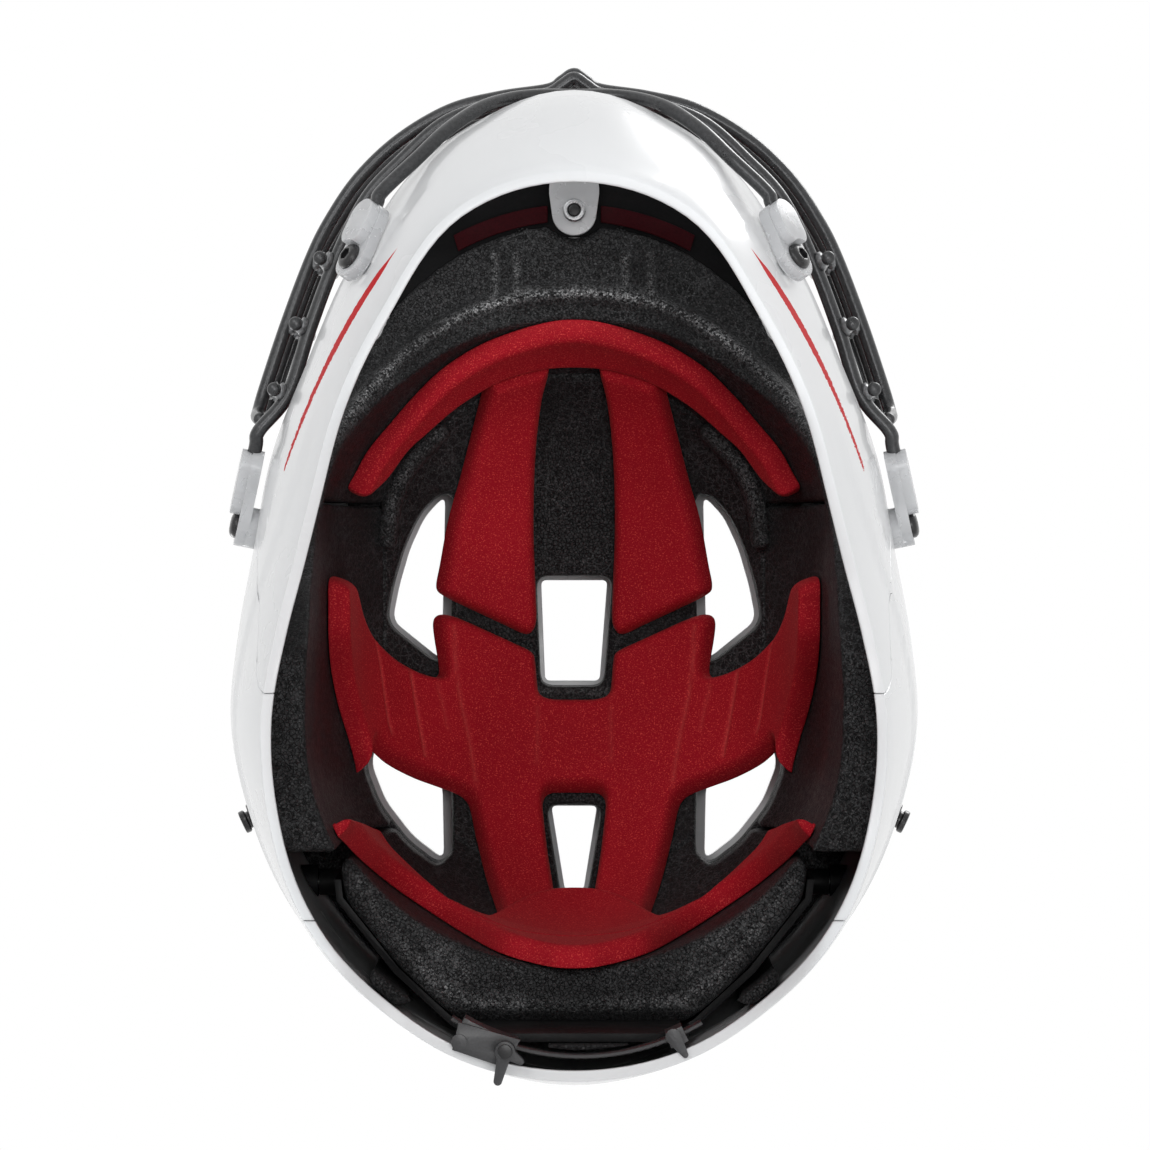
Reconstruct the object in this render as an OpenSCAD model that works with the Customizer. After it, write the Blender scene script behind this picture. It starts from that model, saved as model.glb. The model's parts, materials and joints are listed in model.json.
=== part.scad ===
// Field-sport helmet with a chin guard, a wire face guard and padded foam liner.
// The front of the helmet faces -Y, the rim stands on Z = 0 and +X is the wearer's left.

/* [Shell] */
// Height of the crown above the lowest point of the rim
shell_h = 272; // [255:1:290]
// Height at which the shell is widest
belt_z = 110; // [104:1:116]
// Wall of the shells and the chin guard
wall = 3.5; // [2.5:0.1:4]
// How far the rim rises beside the jaw
rim_arch = 8; // [0:0.5:12]
// How far the rim rises over the rear adjuster
rear_arch = 14; // [13:0.5:17]
// Height of the brow edge over the face
brow_z = 186; // [183:0.5:190]
// Gap of the seams between the white panels
seam_gap = 0.5; // [0.3:0.1:0.9]
// Front-to-back place of the shell's middle
middle_y = 20; // [18:0.5:22]

/* [Chin guard] */
// Height of the chin guard's top edge at the front
guard_top = 66; // [60:1:68]

/* [Visor] */
// Thickness of the visor
visor_t = 3.4; // [2.4:0.1:4]
// How far the visor reaches past the brow
visor_reach = 29; // [22:1:31]
// Width of the red trim under the visor
trim_w = 6; // [4:0.5:7]
// Thickness of the red trim
trim_t = 1.4; // [1:0.1:2]

/* [Liner] */
// Clearance between the foam and what it lies against
foam_gap = 0.4; // [0.3:0.1:0.8]
// Depth from the shell's inside to the head space at the crown
crown_foam = 30.5; // [26:0.5:38]
// How far below the head space's top the side, brow and crown foam meet
ring_drop = 25; // [20:1:30]
// How much wider the foam's vents are than the shell's
vent_relief = 1.6; // [0.5:0.1:2.5]

/* [Pads] */
// Thickness of the comfort pads
pad_t = 8; // [6:0.5:9]
// Depth of the pressed lines in the pads
line_depth = 1.6; // [0.8:0.1:2.4]
// Clearance under a pad
pad_gap = 0.4; // [0.3:0.05:0.6]

/* [Face guard] */
// Diameter of the wire
wire_d = 4.8; // [4:0.1:5.2]
// Gap between wires that are welded where they cross
weld_gap = 0.1; // [0.05:0.05:0.3]
// Radial clearance of a wire in its clip
wire_clearance = 0.15; // [0.1:0.05:0.3]

/* [Clips and fasteners] */
// Thickness of a clip over the wire
clip_t = 7.6; // [7:0.1:9]
// Thickness of a clip under its screw
clip_foot_t = 4; // [3:0.1:5]
// Radius of a clip's rounded ends
clip_r = 7; // [6:0.1:8]
// Radius of the screw shanks
screw_r = 2.4; // [2:0.1:2.6]
// Radius of the screw heads
screw_head_r = 4.6; // [4.2:0.1:5.2]
// Height of the screw heads
screw_head_h = 2.4; // [1.8:0.1:3]
// Radial clearance of a screw in what it passes through
screw_clearance = 0.1; // [0.05:0.05:0.3]
// Radius of the nut flanges
nut_r = 6; // [5.5:0.1:7]
// Thickness of the nut flanges
nut_t = 1.6; // [1.2:0.1:2]
// Radius of the brow screw's shank
brow_screw_r = 2.1; // [1.8:0.1:2.4]
// Radius of the brow screw's head and of its nut
brow_head_r = 4.2; // [3.8:0.1:4.8]
// Clearance under a clip, a stud or a nut
seat_gap = 0.3; // [0.2:0.05:0.5]

/* [Snap studs] */
// Radius of a stud's head
stud_head_r = 4; // [3.6:0.1:4.6]
// Height of a stud's head
stud_head_h = 2.2; // [1.8:0.1:2.6]
// Radius of a stud's flange
stud_flange_r = 5.2; // [4.9:0.1:6]
// Radius of a stud's neck
stud_neck_r = 3; // [2.6:0.1:3.4]

/* [Rear adjuster] */
// Thickness of the plastic carrier
carrier_t = 2.4; // [2:0.1:3]
// Radius of the pivot pins
pivot_r = 2; // [1.6:0.1:2.4]
// Radial clearance of the pivots
pivot_clearance = 0.06; // [0.03:0.01:0.1]
// Width of the ladder strap
strap_w = 9; // [7:0.5:10]
// Thickness of the ladder strap
strap_t = 1.4; // [1:0.1:1.8]
// Clearance round the strap in its latch and keeper
strap_clearance = 0.4; // [0.3:0.05:0.6]
// Distance between the strap's teeth
tooth_pitch = 3; // [2.5:0.1:4]

/* [Hidden] */

// Distance from the middle to the rim, to the chin guard's widest line, to the shell's widest line
// and to the foam's inner face, every 15 degrees from the front to the back
ANGLE_STEP = 15;
RIM_R = [151, 144.5, 123.5, 108.5, 98, 94.5, 97.5, 105.5, 115, 126.5, 136, 143.6, 145.8];
GUARD_R = [185, 172, 149, 130, 120, 113.5, 115, 121.5, 127, 134, 142, 149, 154];
CROWN_R = [156, 152, 141, 130, 120, 113.5, 115, 121.5, 127, 134, 142, 149, 154];
CAVITY_R = [118, 117.5, 113, 107, 100, 91, 88, 92, 100, 107, 111, 112.5, 114];

// How full the crown, the head space and the flare over the rim are drawn
CROWN_N = 2.4;
CAVITY_N = 3;
FLARE = 0.85;

// Steps round the helmet, and rows below and above the belt of the shell and of the head space
COLUMNS = 48;
LOW_ROWS = 5;
HIGH_ROWS = 8;
CAVITY_ROWS = 12;
FAR = 260;

// Side views of the openings and seams, as Y and Z
CAVITY_H = shell_h - wall - crown_foam;
RING_Z = CAVITY_H - ring_drop;
GUARD_SIDE = [
  [-FAR, -20], [-FAR, guard_top], [-151.3, guard_top], [-128.7, guard_top - 5], [-104.3, guard_top - 5.3],
  [-84.2, guard_top + 1], [-62.4, 80], [-44.3, 92], [-30.6, 96], [-20, 88], [-6, 60], [14, 34], [36, 20], [44, -20],
];
FACE_SIDE = [
  [-FAR, 0], [-FAR, brow_z], [-112, brow_z], [-92, brow_z - 4], [-70, brow_z - 15],
  [-52, 150], [-40, 122], [-29, 97], [-29, 0],
];
NAPE_SIDE = [[112, -20], [112, 5], [118, 40], [130, 72], [146, 92], [162, 98], [FAR, 98], [FAR, -20]];
BROW_FOAM_SIDE = [
  [-FAR, brow_z - 5], [-97, brow_z - 6.5], [-72, brow_z - 18], [-54, 147], [-44, 126], [-26, 122],
  [-26, RING_Z], [-FAR, RING_Z],
];
SIDE_FOAM_SIDE = [
  [-25.4, 122], [-14, 84], [6, 50], [26, 32], [92, 32], [92, RING_Z], [-25.4, RING_Z],
];
REAR_FOAM_SIDE = [[92.6, 152], [FAR, 152], [FAR, RING_Z], [92.6, RING_Z]];

// Vents in plan, right half or whole, as X and Y
FRONT_VENT = [[-12.5, 2], [12.5, 2], [9.6, 40], [-11, 40]];
REAR_VENT = [[-8.6, 87], [8.6, 87], [3.4, 118], [-3.4, 118]];
FRONT_SIDE_VENT = [[48.5, -30], [56, -22], [61.5, -10], [65.5, 4], [68, 17], [50, 32]];
REAR_SIDE_VENT = [[73.5, 62], [75.5, 70], [70, 84], [60, 97], [48.5, 106], [49.5, 78]];

// Screws of the clips: a point over the shell, the way out of it and the way to the wire
CHIN_SCREW = over_skirt(GUARD_R, guard_belt(30), 30, 34.6, 1.5);
CHIN_OUT = unit([0.71, -0.49, -0.5]);
CHIN_ALONG = square_to(CHIN_OUT, [-0.37, -0.86, 0.3]);
SIDE_SCREW = over_skirt(CROWN_R, belt_z, 71.8, 99, 0.2);
SIDE_OUT = unit([0.96, -0.2, -0.1]);
SIDE_ALONG = square_to(SIDE_OUT, [-0.2, -0.94, -0.2]);
WIRE_LIFT = clip_t / 2;
SIDE_STAND = 3.4;
CHIN_REACH = 15;
SIDE_REACH = 21;

// Snap studs, rear adjuster
STUD_AT = over_skirt(CROWN_R, belt_z, 120, 104, 0.2);
STUD_OUT = unit([0.9, 0.42, -0.06]);
PIVOT_AT = [0, 108, 136];
STRAP_BACK = 157.9;
STRAP_R = 77.5;
STRAP_CENTRE = [2, STRAP_BACK - STRAP_R];
LATCH_TOP = rear_arch - 0.9;
LATCH_T = 2.2;
STRAP_Z = LATCH_TOP + 2.4;
GUIDE_TOP = STRAP_Z + strap_w + 3;
FOAM_BACK = 153.5;
FOAM_PLAN = [
  [-80, 96], [-78.5, 110], [-59.5, 134], [-40.5, 151.5], [-37, FOAM_BACK],
  [37, FOAM_BACK], [40.5, 151.5], [59.5, 134], [78.5, 110], [80, 96],
];
LATCH_ANGLE = -23;
KEEPER_ANGLE = 24;

function unit(v) = v / norm(v);
function square_to(n, v) = unit(v - n * (v * n));
function mirrored(p) = [-p[0], p[1], p[2]];
function smooth(t) = let (s = min(max(t, 0), 1)) s * s * (3 - 2 * s);
function blend(a, b, t) = a + (b - a) * t;
function spline(p0, p1, p2, p3, t) =
  0.5 * (2 * p1 + (p2 - p0) * t + (2 * p0 - 5 * p1 + 4 * p2 - p3) * t * t
    + (3 * p1 - 3 * p2 + p3 - p0) * t * t * t);

// A value of a table at any angle from the front, the same on both sides
function fold(a) = let (b = ((a % 360) + 360) % 360) b > 180 ? 360 - b : b;
function at(table, a) =
  let (
    last = len(table) - 1,
    s = fold(a) / ANGLE_STEP,
    i = min(floor(s), last - 1),
    after = i + 2 > last ? 2 * last - i - 2 : i + 2
  ) spline(table[abs(i - 1)], table[i], table[i + 1], table[after], s - i);

function rim_z(a) = rim_arch * smooth((fold(a) - 40) / 40) * smooth((128 - fold(a)) / 35)
  + rear_arch * smooth((fold(a) - 140) / 17.5);
function around(a, r, z) = [r * sin(a), middle_y - r * cos(a), z];

// A point of a flared skirt: v runs from 0 at the rim to 1 at the belt
function skirt_point(table, belt, a, v, inset) =
  let (low = at(RIM_R, a), high = at(table, a))
  around(a, low + (high - low) * pow(sin(90 * max(v, 0)), FLARE) - inset, blend(rim_z(a), belt, v));

// A point of a dome over the belt: v runs from 1 at the belt to 2 at the crown
function dome_point(table, n, top, a, v, inset) =
  let (s = (v - 1) * 90)
  around(a, (at(table, a) - inset) * pow(cos(s), 2 / n), belt_z + (top - inset - belt_z) * pow(sin(s), 2 / n));

function shell_point(a, v, inset) =
  v <= 1 ? skirt_point(CROWN_R, belt_z, a, v, inset) : dome_point(CROWN_R, CROWN_N, shell_h, a, v, inset);

// A point at an angle and a height, some way outside a skirt
function over_skirt(table, belt, a, z, lift) =
  let (p = skirt_point(table, belt, a, (z - rim_z(a)) / (belt - rim_z(a)), -lift)) p;
function guard_belt(a) = blend(guard_top + 8, belt_z, smooth((fold(a) - 20) / 40));
function guard_point(a, v, inset) = skirt_point(GUARD_R, guard_belt(a), a, v, inset);
function cavity_point(a, v, inset) =
  v <= 1 ? around(a, at(CAVITY_R, a) - inset, blend(0, belt_z, v))
    : dome_point(CAVITY_R, CAVITY_N, CAVITY_H, a, v, inset);
function crown_radius(a, z) =
  at(CROWN_R, a) * pow(cos(asin(pow((z - belt_z) / (shell_h - belt_z), CROWN_N / 2))), 2 / CROWN_N);

// A point on the head space over a place in plan, or at an angle and a height, d inside its face.
// Heights on its wall are drawn for a belt and a rise of their own, and follow the real ones.
DRAWN_BELT = 110;
DRAWN_RISE = 128;
function on_cavity_plan(p, d) =
  let (
    a = atan2(p[0], middle_y - p[1]),
    r = norm([p[0], p[1] - middle_y]),
    s = acos(pow(min(r / at(CAVITY_R, a), 1), CAVITY_N / 2))
  ) dome_point(CAVITY_R, CAVITY_N, CAVITY_H, a, 1 + s / 90, d);
function on_cavity_wall(p, d) =
  let (drawn = (p[1] - DRAWN_BELT) / DRAWN_RISE, s = asin(pow(max(drawn, 0), CAVITY_N / 2)))
  let (q = dome_point(CAVITY_R, CAVITY_N, CAVITY_H, p[0], 1 + s / 90, d))
  [q[0], q[1], min(q[2], belt_z + drawn * (CAVITY_H - belt_z))];

// A smooth line through points, with some steps for each stretch
function ends_doubled(p) = [each [2 * p[0] - p[1]], each p, 2 * p[len(p) - 1] - p[len(p) - 2]];
function smooth_line(p, steps) =
  let (q = ends_doubled(p))
  [
    for (i = [1:len(q) - 3]) for (k = [0:steps - 1]) spline(q[i - 1], q[i], q[i + 1], q[i + 2], k / steps),
    q[len(q) - 2],
  ];
function both_sides(half) = [for (i = [len(half) - 1:-1:1]) mirrored(half[i]), each half];

// Closed rings of points joined into a solid, with a point or a flat end at each end
module rings_solid(rings, first, last) {
  n = len(rings[0]);
  rows = len(rings);
  points = [for (r = rings) each r, first, last];
  faces = [
    for (j = [0:rows - 2]) for (i = [0:n - 1]) let (k = (i + 1) % n) each [
      [j * n + i, (j + 1) * n + i, j * n + k],
      [j * n + k, (j + 1) * n + i, (j + 1) * n + k],
    ],
    for (i = [0:n - 1]) let (k = (i + 1) % n) each [
      [rows * n, i, k],
      [rows * n + 1, (rows - 1) * n + k, (rows - 1) * n + i],
    ],
  ];
  polyhedron(points, faces);
}

function circuit() = [for (i = [0:COLUMNS - 1]) i * 360 / COLUMNS];

// The shell's outer form, moved in by an inset; one that cuts reaches down past the rim
RIM_DROP = 1.5;
module shell_form(inset, below) {
  highs = [for (j = [1:HIGH_ROWS]) 1 + 0.96 * j / HIGH_ROWS];
  rows = [
    [for (a = circuit()) shell_point(a, 0, inset) - [0, 0, below]],
    if (below > 0) [for (a = circuit()) shell_point(a, 0, inset) - [0, 0, RIM_DROP]],
    for (j = [1:LOW_ROWS]) [for (a = circuit()) shell_point(a, j / LOW_ROWS, inset)],
    for (v = highs) [for (a = circuit()) shell_point(a, v, inset)],
  ];
  rings_solid(rows, [0, middle_y, -below], [0, middle_y, shell_h - inset]);
}

// The lower cap's middle is off the axis, so that no edge of the cap lies along an edge of the wall
GUARD_CAP_OFF = 7;
module guard_form(inset, below) {
  rows = [
    [for (a = circuit()) guard_point(a, 0, inset) - [0, 0, below]],
    if (below > 0) [for (a = circuit()) guard_point(a, 0, inset) - [0, 0, RIM_DROP]],
    for (j = [1:LOW_ROWS]) [for (a = circuit()) guard_point(a, j / LOW_ROWS, inset)],
    [for (a = circuit()) guard_point(a, 1, inset) + [0, 0, belt_z]],
  ];
  rings_solid(rows, [0, middle_y + GUARD_CAP_OFF, -below], [0, middle_y, 2 * belt_z]);
}

// Drawn slightly full, so that its flats don't reach inside the true surface
CAVITY_EASE = 0.3;
module cavity_form() {
  highs = [for (j = [0:CAVITY_ROWS]) 1 + 0.95 * j / CAVITY_ROWS];
  rows = [
    [for (a = circuit()) cavity_point(a, 0, -CAVITY_EASE) - [0, 0, belt_z]],
    for (v = highs) [for (a = circuit()) cavity_point(a, v, -CAVITY_EASE)],
  ];
  rings_solid(rows, [0, middle_y, -belt_z], [0, middle_y, CAVITY_H]);
}

// Evaluates its children as one moulding, at the size drawn
module moulded() {
  resize([0, 0, 0]) union() children();
}

// A side view carried across the helmet, grown by a margin
module across(outline, margin = 0) {
  rotate([90, 0, 90]) linear_extrude(2 * FAR, center = true) offset(delta = margin) polygon(outline);
}

module up_through(outline, margin = 0) {
  translate([0, 0, belt_z]) linear_extrude(FAR) offset(delta = margin) polygon(outline);
}

module vents(margin) {
  up_through(FRONT_VENT, margin);
  up_through(REAR_VENT, margin);
  for (side = [0, 1]) mirror([side, 0, 0]) {
    up_through(FRONT_SIDE_VENT, margin);
    up_through(REAR_SIDE_VENT, margin);
  }
}

// Stands its children on a place with +Z the way out and +X the way along
module seated(at_point, out, along) {
  y = cross(out, along);
  multmatrix([
    [along[0], y[0], out[0], at_point[0]],
    [along[1], y[1], out[1], at_point[1]],
    [along[2], y[2], out[2], at_point[2]],
  ]) children();
}

module on_side(side) {
  mirror([side == "left" ? 0 : 1, 0, 0]) children();
}

module both() {
  on_side("left") children();
  on_side("right") children();
}

module at_chin_screw() seated(CHIN_SCREW, CHIN_OUT, CHIN_ALONG) children();
module at_side_screw() seated(SIDE_SCREW, SIDE_OUT, SIDE_ALONG) children();
module at_stud() seated(STUD_AT, STUD_OUT, square_to(STUD_OUT, [0, 0, 1])) children();

// Holes for the screws and studs, and the room that their backs take in the foam
module fastener_holes() {
  both() {
    at_chin_screw() cylinder(r = screw_r + 1, h = 24, center = true, $fn = 24);
    at_side_screw() cylinder(r = screw_r + 1, h = 24, center = true, $fn = 24);
    at_stud() cylinder(r = stud_neck_r - 0.6, h = 24, center = true, $fn = 24);
  }
}

module foam_pockets() {
  both() {
    at_side_screw() translate([0, 0, -12]) cylinder(r = nut_r + 1, h = 12, $fn = 24);
    at_stud() translate([0, 0, -8]) cylinder(r = stud_flange_r + 1, h = 8, $fn = 24);
  }
}

module crown_shell() {
  color("white") moulded() difference() {
    shell_form(0, 0);
    shell_form(wall, 20);
    across(GUARD_SIDE, seam_gap);
    across(FACE_SIDE);
    across(NAPE_SIDE);
    vents(0);
    fastener_holes();
  }
}

module rear_shell() {
  color("white") moulded() intersection() {
    difference() {
      shell_form(0, 0);
      shell_form(wall, 20);
    }
    across(NAPE_SIDE, -seam_gap);
  }
}

module chin_guard() {
  color("white") moulded() difference() {
    intersection() {
      guard_form(0, 0);
      across(GUARD_SIDE);
    }
    guard_form(wall, 20);
    fastener_holes();
  }
}

// A curved plate round the brow, from one reach of the shell to another
VISOR_HALF = 50;
VISOR_STEPS = 24;
VISOR_TOP = brow_z - 0.4;
function visor_angle(i, half) = blend(-half, half, i / VISOR_STEPS);
function brow_r(a) = crown_radius(a, brow_z) - 2.6;
function visor_r(a) = brow_r(a) + visor_reach * (0.16 + 0.84 * pow(cos(90 * a / VISOR_HALF), 0.7));
VISOR_DROOP = 2.5;
visor_z = function (a, r) VISOR_TOP - VISOR_DROOP * (r - brow_r(a)) / (visor_r(a) - brow_r(a));

module brow_plate(half, inner, outer, top, thick) {
  rings = [
    for (i = [0:VISOR_STEPS]) let (a = visor_angle(i, half), r0 = inner(a), r1 = outer(a)) [
      around(a, r0, top(a, r0)), around(a, r1, top(a, r1)),
      around(a, r1, top(a, r1) - thick), around(a, r0, top(a, r0) - thick),
    ],
  ];
  middles = [for (e = [0, VISOR_STEPS]) (rings[e][0] + rings[e][2]) / 2];
  rings_solid(rings, middles[0], middles[1]);
}

module visor() {
  color("#1c1c1e") moulded() difference() {
    brow_plate(VISOR_HALF - 0.5, function (a) brow_r(a), function (a) visor_r(a), visor_z, visor_t);
    difference() {
      shell_form(-seam_gap, -2);
      shell_form(wall + seam_gap, 20);
      across(FACE_SIDE, -0.3);
    }
    translate(BROW_SCREW) cylinder(r = brow_screw_r + 0.8, h = 40, center = true, $fn = 24);
  }
}

TRIM_IN = 5.6;
TRIM_HALF = 17;
module brow_trim() {
  color("#7a1420") moulded() difference() {
    brow_plate(
      TRIM_HALF, function (a) brow_r(a) + TRIM_IN, function (a) brow_r(a) + TRIM_IN + trim_w,
      function (a, r) visor_z(a, r) - visor_t - seat_gap, trim_t
    );
    translate([-CLIP_TAB_R - 0.6, -FAR, 0]) cube([2 * CLIP_TAB_R + 1.2, FAR, FAR]);
  }
}

// Foam between the shell and the head space, kept inside a side view and a range of X
module foam(outline, from_x = -FAR, to_x = FAR) {
  color("#262628") moulded() difference() {
    intersection() {
      shell_form(wall + foam_gap, -2);
      across(outline, -foam_gap / 2);
      translate([from_x, -FAR, 0]) cube([to_x - from_x, 2 * FAR, 2 * FAR]);
    }
    cavity_form();
    vents(vent_relief);
    foam_pockets();
  }
}

module brow_liner() foam(BROW_FOAM_SIDE);
module crown_liner() foam([[-FAR, RING_Z], [FAR, RING_Z], [FAR, FAR + 50], [-FAR, FAR + 50]]);

// The rear foam has two slim legs down the inside of the shell
LEG_T = 5;
module rear_liner() {
  color("#262628") moulded() {
    difference() {
      intersection() {
        shell_form(wall + foam_gap, -2);
        across(REAR_FOAM_SIDE, -foam_gap / 2);
      }
      cavity_form();
      vents(vent_relief);
    }
    for (side = [-1, 1]) difference() {
      intersection() {
        shell_form(wall + foam_gap, -2);
        translate([side * 60, 136, 56]) cylinder(r = 9, h = 100, $fn = 20);
      }
      shell_form(wall + foam_gap + LEG_T, 10);
    }
  }
}

SIDE_FOAM_IN = 60;
module side_liner_left() foam(SIDE_FOAM_SIDE, SIDE_FOAM_IN, FAR);
module side_liner_right() foam(SIDE_FOAM_SIDE, -FAR, -SIDE_FOAM_IN);

// The moving block behind the nape: flat at the back, with two chamfers
FOAM_LOW = 78;
FOAM_TOP = 146;
module nape_foam() {
  color("#262628") moulded() difference() {
    translate([0, 0, FOAM_LOW]) linear_extrude(FOAM_TOP - FOAM_LOW) polygon(FOAM_PLAN);
    cavity_form();
    translate([0, FOAM_BACK + 6, FOAM_LOW]) rotate([45, 0, 0]) cube([200, 16, 16], center = true);
  }
}

// A crowned pad between two edges, laid on the head space
PAD_ROUND = [0, 0.1, 0.5, 0.9, 1];
function edge_share(t) = pow(1 - pow(abs(2 * t - 1), 6), 0.5);
function pad_thick(u, w, breaks) =
  let (dent = len([for (b = breaks) if (abs(b - u) < 0.001 && b > 0 && b < 1) b]) > 0 ? line_depth : 0)
  max(pad_t * (0.32 + 0.68 * min(edge_share(u), edge_share(w))) - dent, 1);
function along_edge(p, u) =
  let (s = u * (len(p) - 1), i = min(floor(s), len(p) - 2), q = ends_doubled(p))
  spline(q[i], q[i + 1], q[i + 2], q[i + 3], s - i);
function pad_rows(breaks) = [
  for (i = [0:len(breaks) - 2]) each [
    breaks[i],
    for (f = [0.12, 0.5, 0.88]) blend(breaks[i], breaks[i + 1], f),
  ],
  1,
];

module pad(edge_a, edge_b, place, breaks = [0, 0.34, 0.67, 1], extra = function (u, w) 0) {
  us = pad_rows(breaks);
  rings = [
    for (u = us) let (pa = along_edge(edge_a, u), pb = along_edge(edge_b, u)) [
      for (w = PAD_ROUND) place(blend(pa, pb, w), pad_gap + pad_thick(u, w, breaks) + extra(u, w)),
      for (k = [len(PAD_ROUND) - 1:-1:0]) place(blend(pa, pb, PAD_ROUND[k]), pad_gap),
    ],
  ];
  first = place(blend(edge_a[0], edge_b[0], 0.5), pad_gap + 1.2);
  last = place(blend(edge_a[len(edge_a) - 1], edge_b[len(edge_b) - 1], 0.5), pad_gap + 1.2);
  rings_solid(rings, first, last);
}

PLAN = function (p, d) on_cavity_plan(p, d);
WALL = function (p, d) on_cavity_wall(p, d);
PAD_RED = "#b01e2a";

module front_pad() {
  low = [[-56, 183], [-46, 182.6], [-33, 182.2], [-16, 180.2], [0, 177], [16, 180.2], [33, 182.2], [46, 182.6], [56, 183]];
  high = [[-59, 190], [-54, 196], [-43, 200], [-22, 204], [0, 205], [22, 204], [43, 200], [54, 196], [59, 190]];
  color(PAD_RED) moulded() pad(low, high, WALL, [0, 0.25, 0.5, 0.75, 1]);
}

module crown_pad(side) {
  outer = [[30.5, -70], [36, -52], [42, -28], [47.3, 4], [44, 10]];
  inner = [[10, -76], [11, -50], [12, -20], [13.4, 17], [17.2, 21.5]];
  color(PAD_RED) moulded() on_side(side) pad(outer, inner, PLAN, [0, 0.5, 1]);
}

module crown_pad_left() crown_pad("left");
module crown_pad_right() crown_pad("right");

// The centre pad is pressed from one sheet: a bridge, two long legs and two wings meet at its lines
LEG_OUTER = [[45.6, 15], [48, 33], [43.4, 52], [37.5, 79], [30.5, 100], [25.3, 121]];
LEG_INNER = [[14.5, 27.5], [13.6, 44], [12.8, 60], [10.8, 79], [8.8, 98], [7, 118]];
PRESSED_LINE = 0.5;
module centre_pad() {
  line = [-PRESSED_LINE, 0];
  bridge = [for (i = [1:3]) LEG_INNER[i] + line];
  color(PAD_RED) {
    pad(bridge, [for (p = bridge) [-p[0], p[1]]], PLAN, [0, 1]);
    both() {
      pad(LEG_OUTER, LEG_INNER, PLAN, [0, 0.3, 0.62, 1]);
      pad(
        [LEG_OUTER[1] - 2 * line, [57, 32], [67, 26], [77, 14]],
        [LEG_OUTER[3] - 2 * line, [53, 77], [64, 69], [74, 60]], PLAN, [0, 0.34, 0.62, 1]
      );
    }
  }
}

module side_pad(side) {
  top = [[77, 178], [90, 185], [106, 181], [122, 168]];
  low = [[78, 167], [90, 154], [106, 150], [119, 158]];
  color(PAD_RED) moulded() on_side(side) pad(low, top, WALL, [0, 0.5, 1]);
}

module side_pad_left() side_pad("left");
module side_pad_right() side_pad("right");

// The nape pad: a band round the back with a fuller middle that reaches up to the centre pad's legs.
// It stands off the wall above the pivots, so that the block can tilt.
NAPE_PAD_BULGE = 6;
NAPE_PAD_END = 51;
NAPE_PAD_RISE = 42;
NAPE_LEAN = 0.075;
module nape_pad() {
  angles = [-1, -0.74, -0.5, -0.32, -0.17, 0, 0.17, 0.32, 0.5, 0.74, 1] * NAPE_PAD_END;
  low = [for (a = angles) [180 + a, 108 + 12 * pow(a / NAPE_PAD_END, 2)]];
  high = [for (a = angles) [180 + a, 142 - 10 * pow(a / NAPE_PAD_END, 2) + NAPE_PAD_RISE * smooth((17 - abs(a)) / 12)]];
  bulge = function (u, w) NAPE_PAD_BULGE * smooth(1 - abs(u - 0.5) / 0.16) * edge_share(w);
  leaning = function (p, d) on_cavity_wall(p, d + NAPE_LEAN * max(p[1] - PIVOT_AT[2], 0));
  color(PAD_RED) moulded() pad(low, high, leaning, [0, 0.25, 0.36, 0.43, 0.5, 0.57, 0.64, 0.75, 1], bulge);
}

// A wire swept along a smooth line, as an eight-sided tube
WIRE_SIDES = 8;
function wire_ring(p, t, up) =
  let (side = unit(cross(up, t)), top = cross(t, side))
  [for (k = [0:WIRE_SIDES - 1]) let (b = 360 * (k + 0.5) / WIRE_SIDES) p + (side * cos(b) + top * sin(b)) * wire_d / 2];

module wire(line, up = [0, 0, 1]) {
  last = len(line) - 1;
  rings = [
    for (i = [0:last]) wire_ring(line[i], unit(line[min(i + 1, last)] - line[max(i - 1, 0)]), up),
  ];
  rings_solid(rings, line[0], line[last]);
}

// The wires run straight through their clips
function in_chin_clip(x) = CHIN_SCREW + CHIN_ALONG * x + CHIN_OUT * WIRE_LIFT;
function in_side_clip(x) = SIDE_SCREW + SIDE_ALONG * x + SIDE_OUT * (SIDE_STAND + WIRE_LIFT);

// The side run of the main wire; the rods lap it and the outer wires lap the rods
SIDE_RUN = [[82.4, -107], [90.8, -84.5], [98.2, -62]];
SIDE_SQUARE = [0.943, -0.333];
function lapped(i, layers, z) = let (p = SIDE_RUN[i] + layers * (wire_d + weld_gap) * SIDE_SQUARE) [p[0], p[1], z];
function outer_run(zs) = [for (i = [0:2]) lapped(i, 2, zs[i])];

LOWER_HALF = [
  [0, -163, 77], [12, -163, 77], [22, -161.5, 73], [32, -157.5, 65], [43, -149, 54], [52.5, -139, 45.5],
  in_chin_clip(26), in_chin_clip(21), in_chin_clip(8),
];
MAIN_HALF = [
  [0, -171, 98], [4, -168.6, 98], [9, -165.6, 98], [20, -164, 98], [43, -156.6, 97], [60, -142, 96],
  [72, -128.5, 95], lapped(0, 0, 94), lapped(1, 0, 93), lapped(2, 0, 92.4),
  in_side_clip(34), in_side_clip(28), in_side_clip(10),
];
MIDDLE_HALF = [
  [0, -175, 124], [4, -172.6, 124], [9, -169.6, 124], [26, -167, 124], [43.4, -162.4, 123.5],
  [61, -152, 123], [75, -138.6, 122], [85, -123.8, 121], each outer_run([120, 118.5, 117]),
  [109.6, -57, 114], [109.6, -54.8, 107], [108.2, -53.6, 100],
];
UPPER_HALF = [
  [0, -173.6, 148], [4, -171.2, 148], [9, -168.2, 148], [26, -165.6, 148], [43.4, -161, 148],
  [61, -151, 148], [75, -138, 148], [85, -123.4, 148], each outer_run([148, 148, 148]), [109.5, -57, 148],
];
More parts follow.
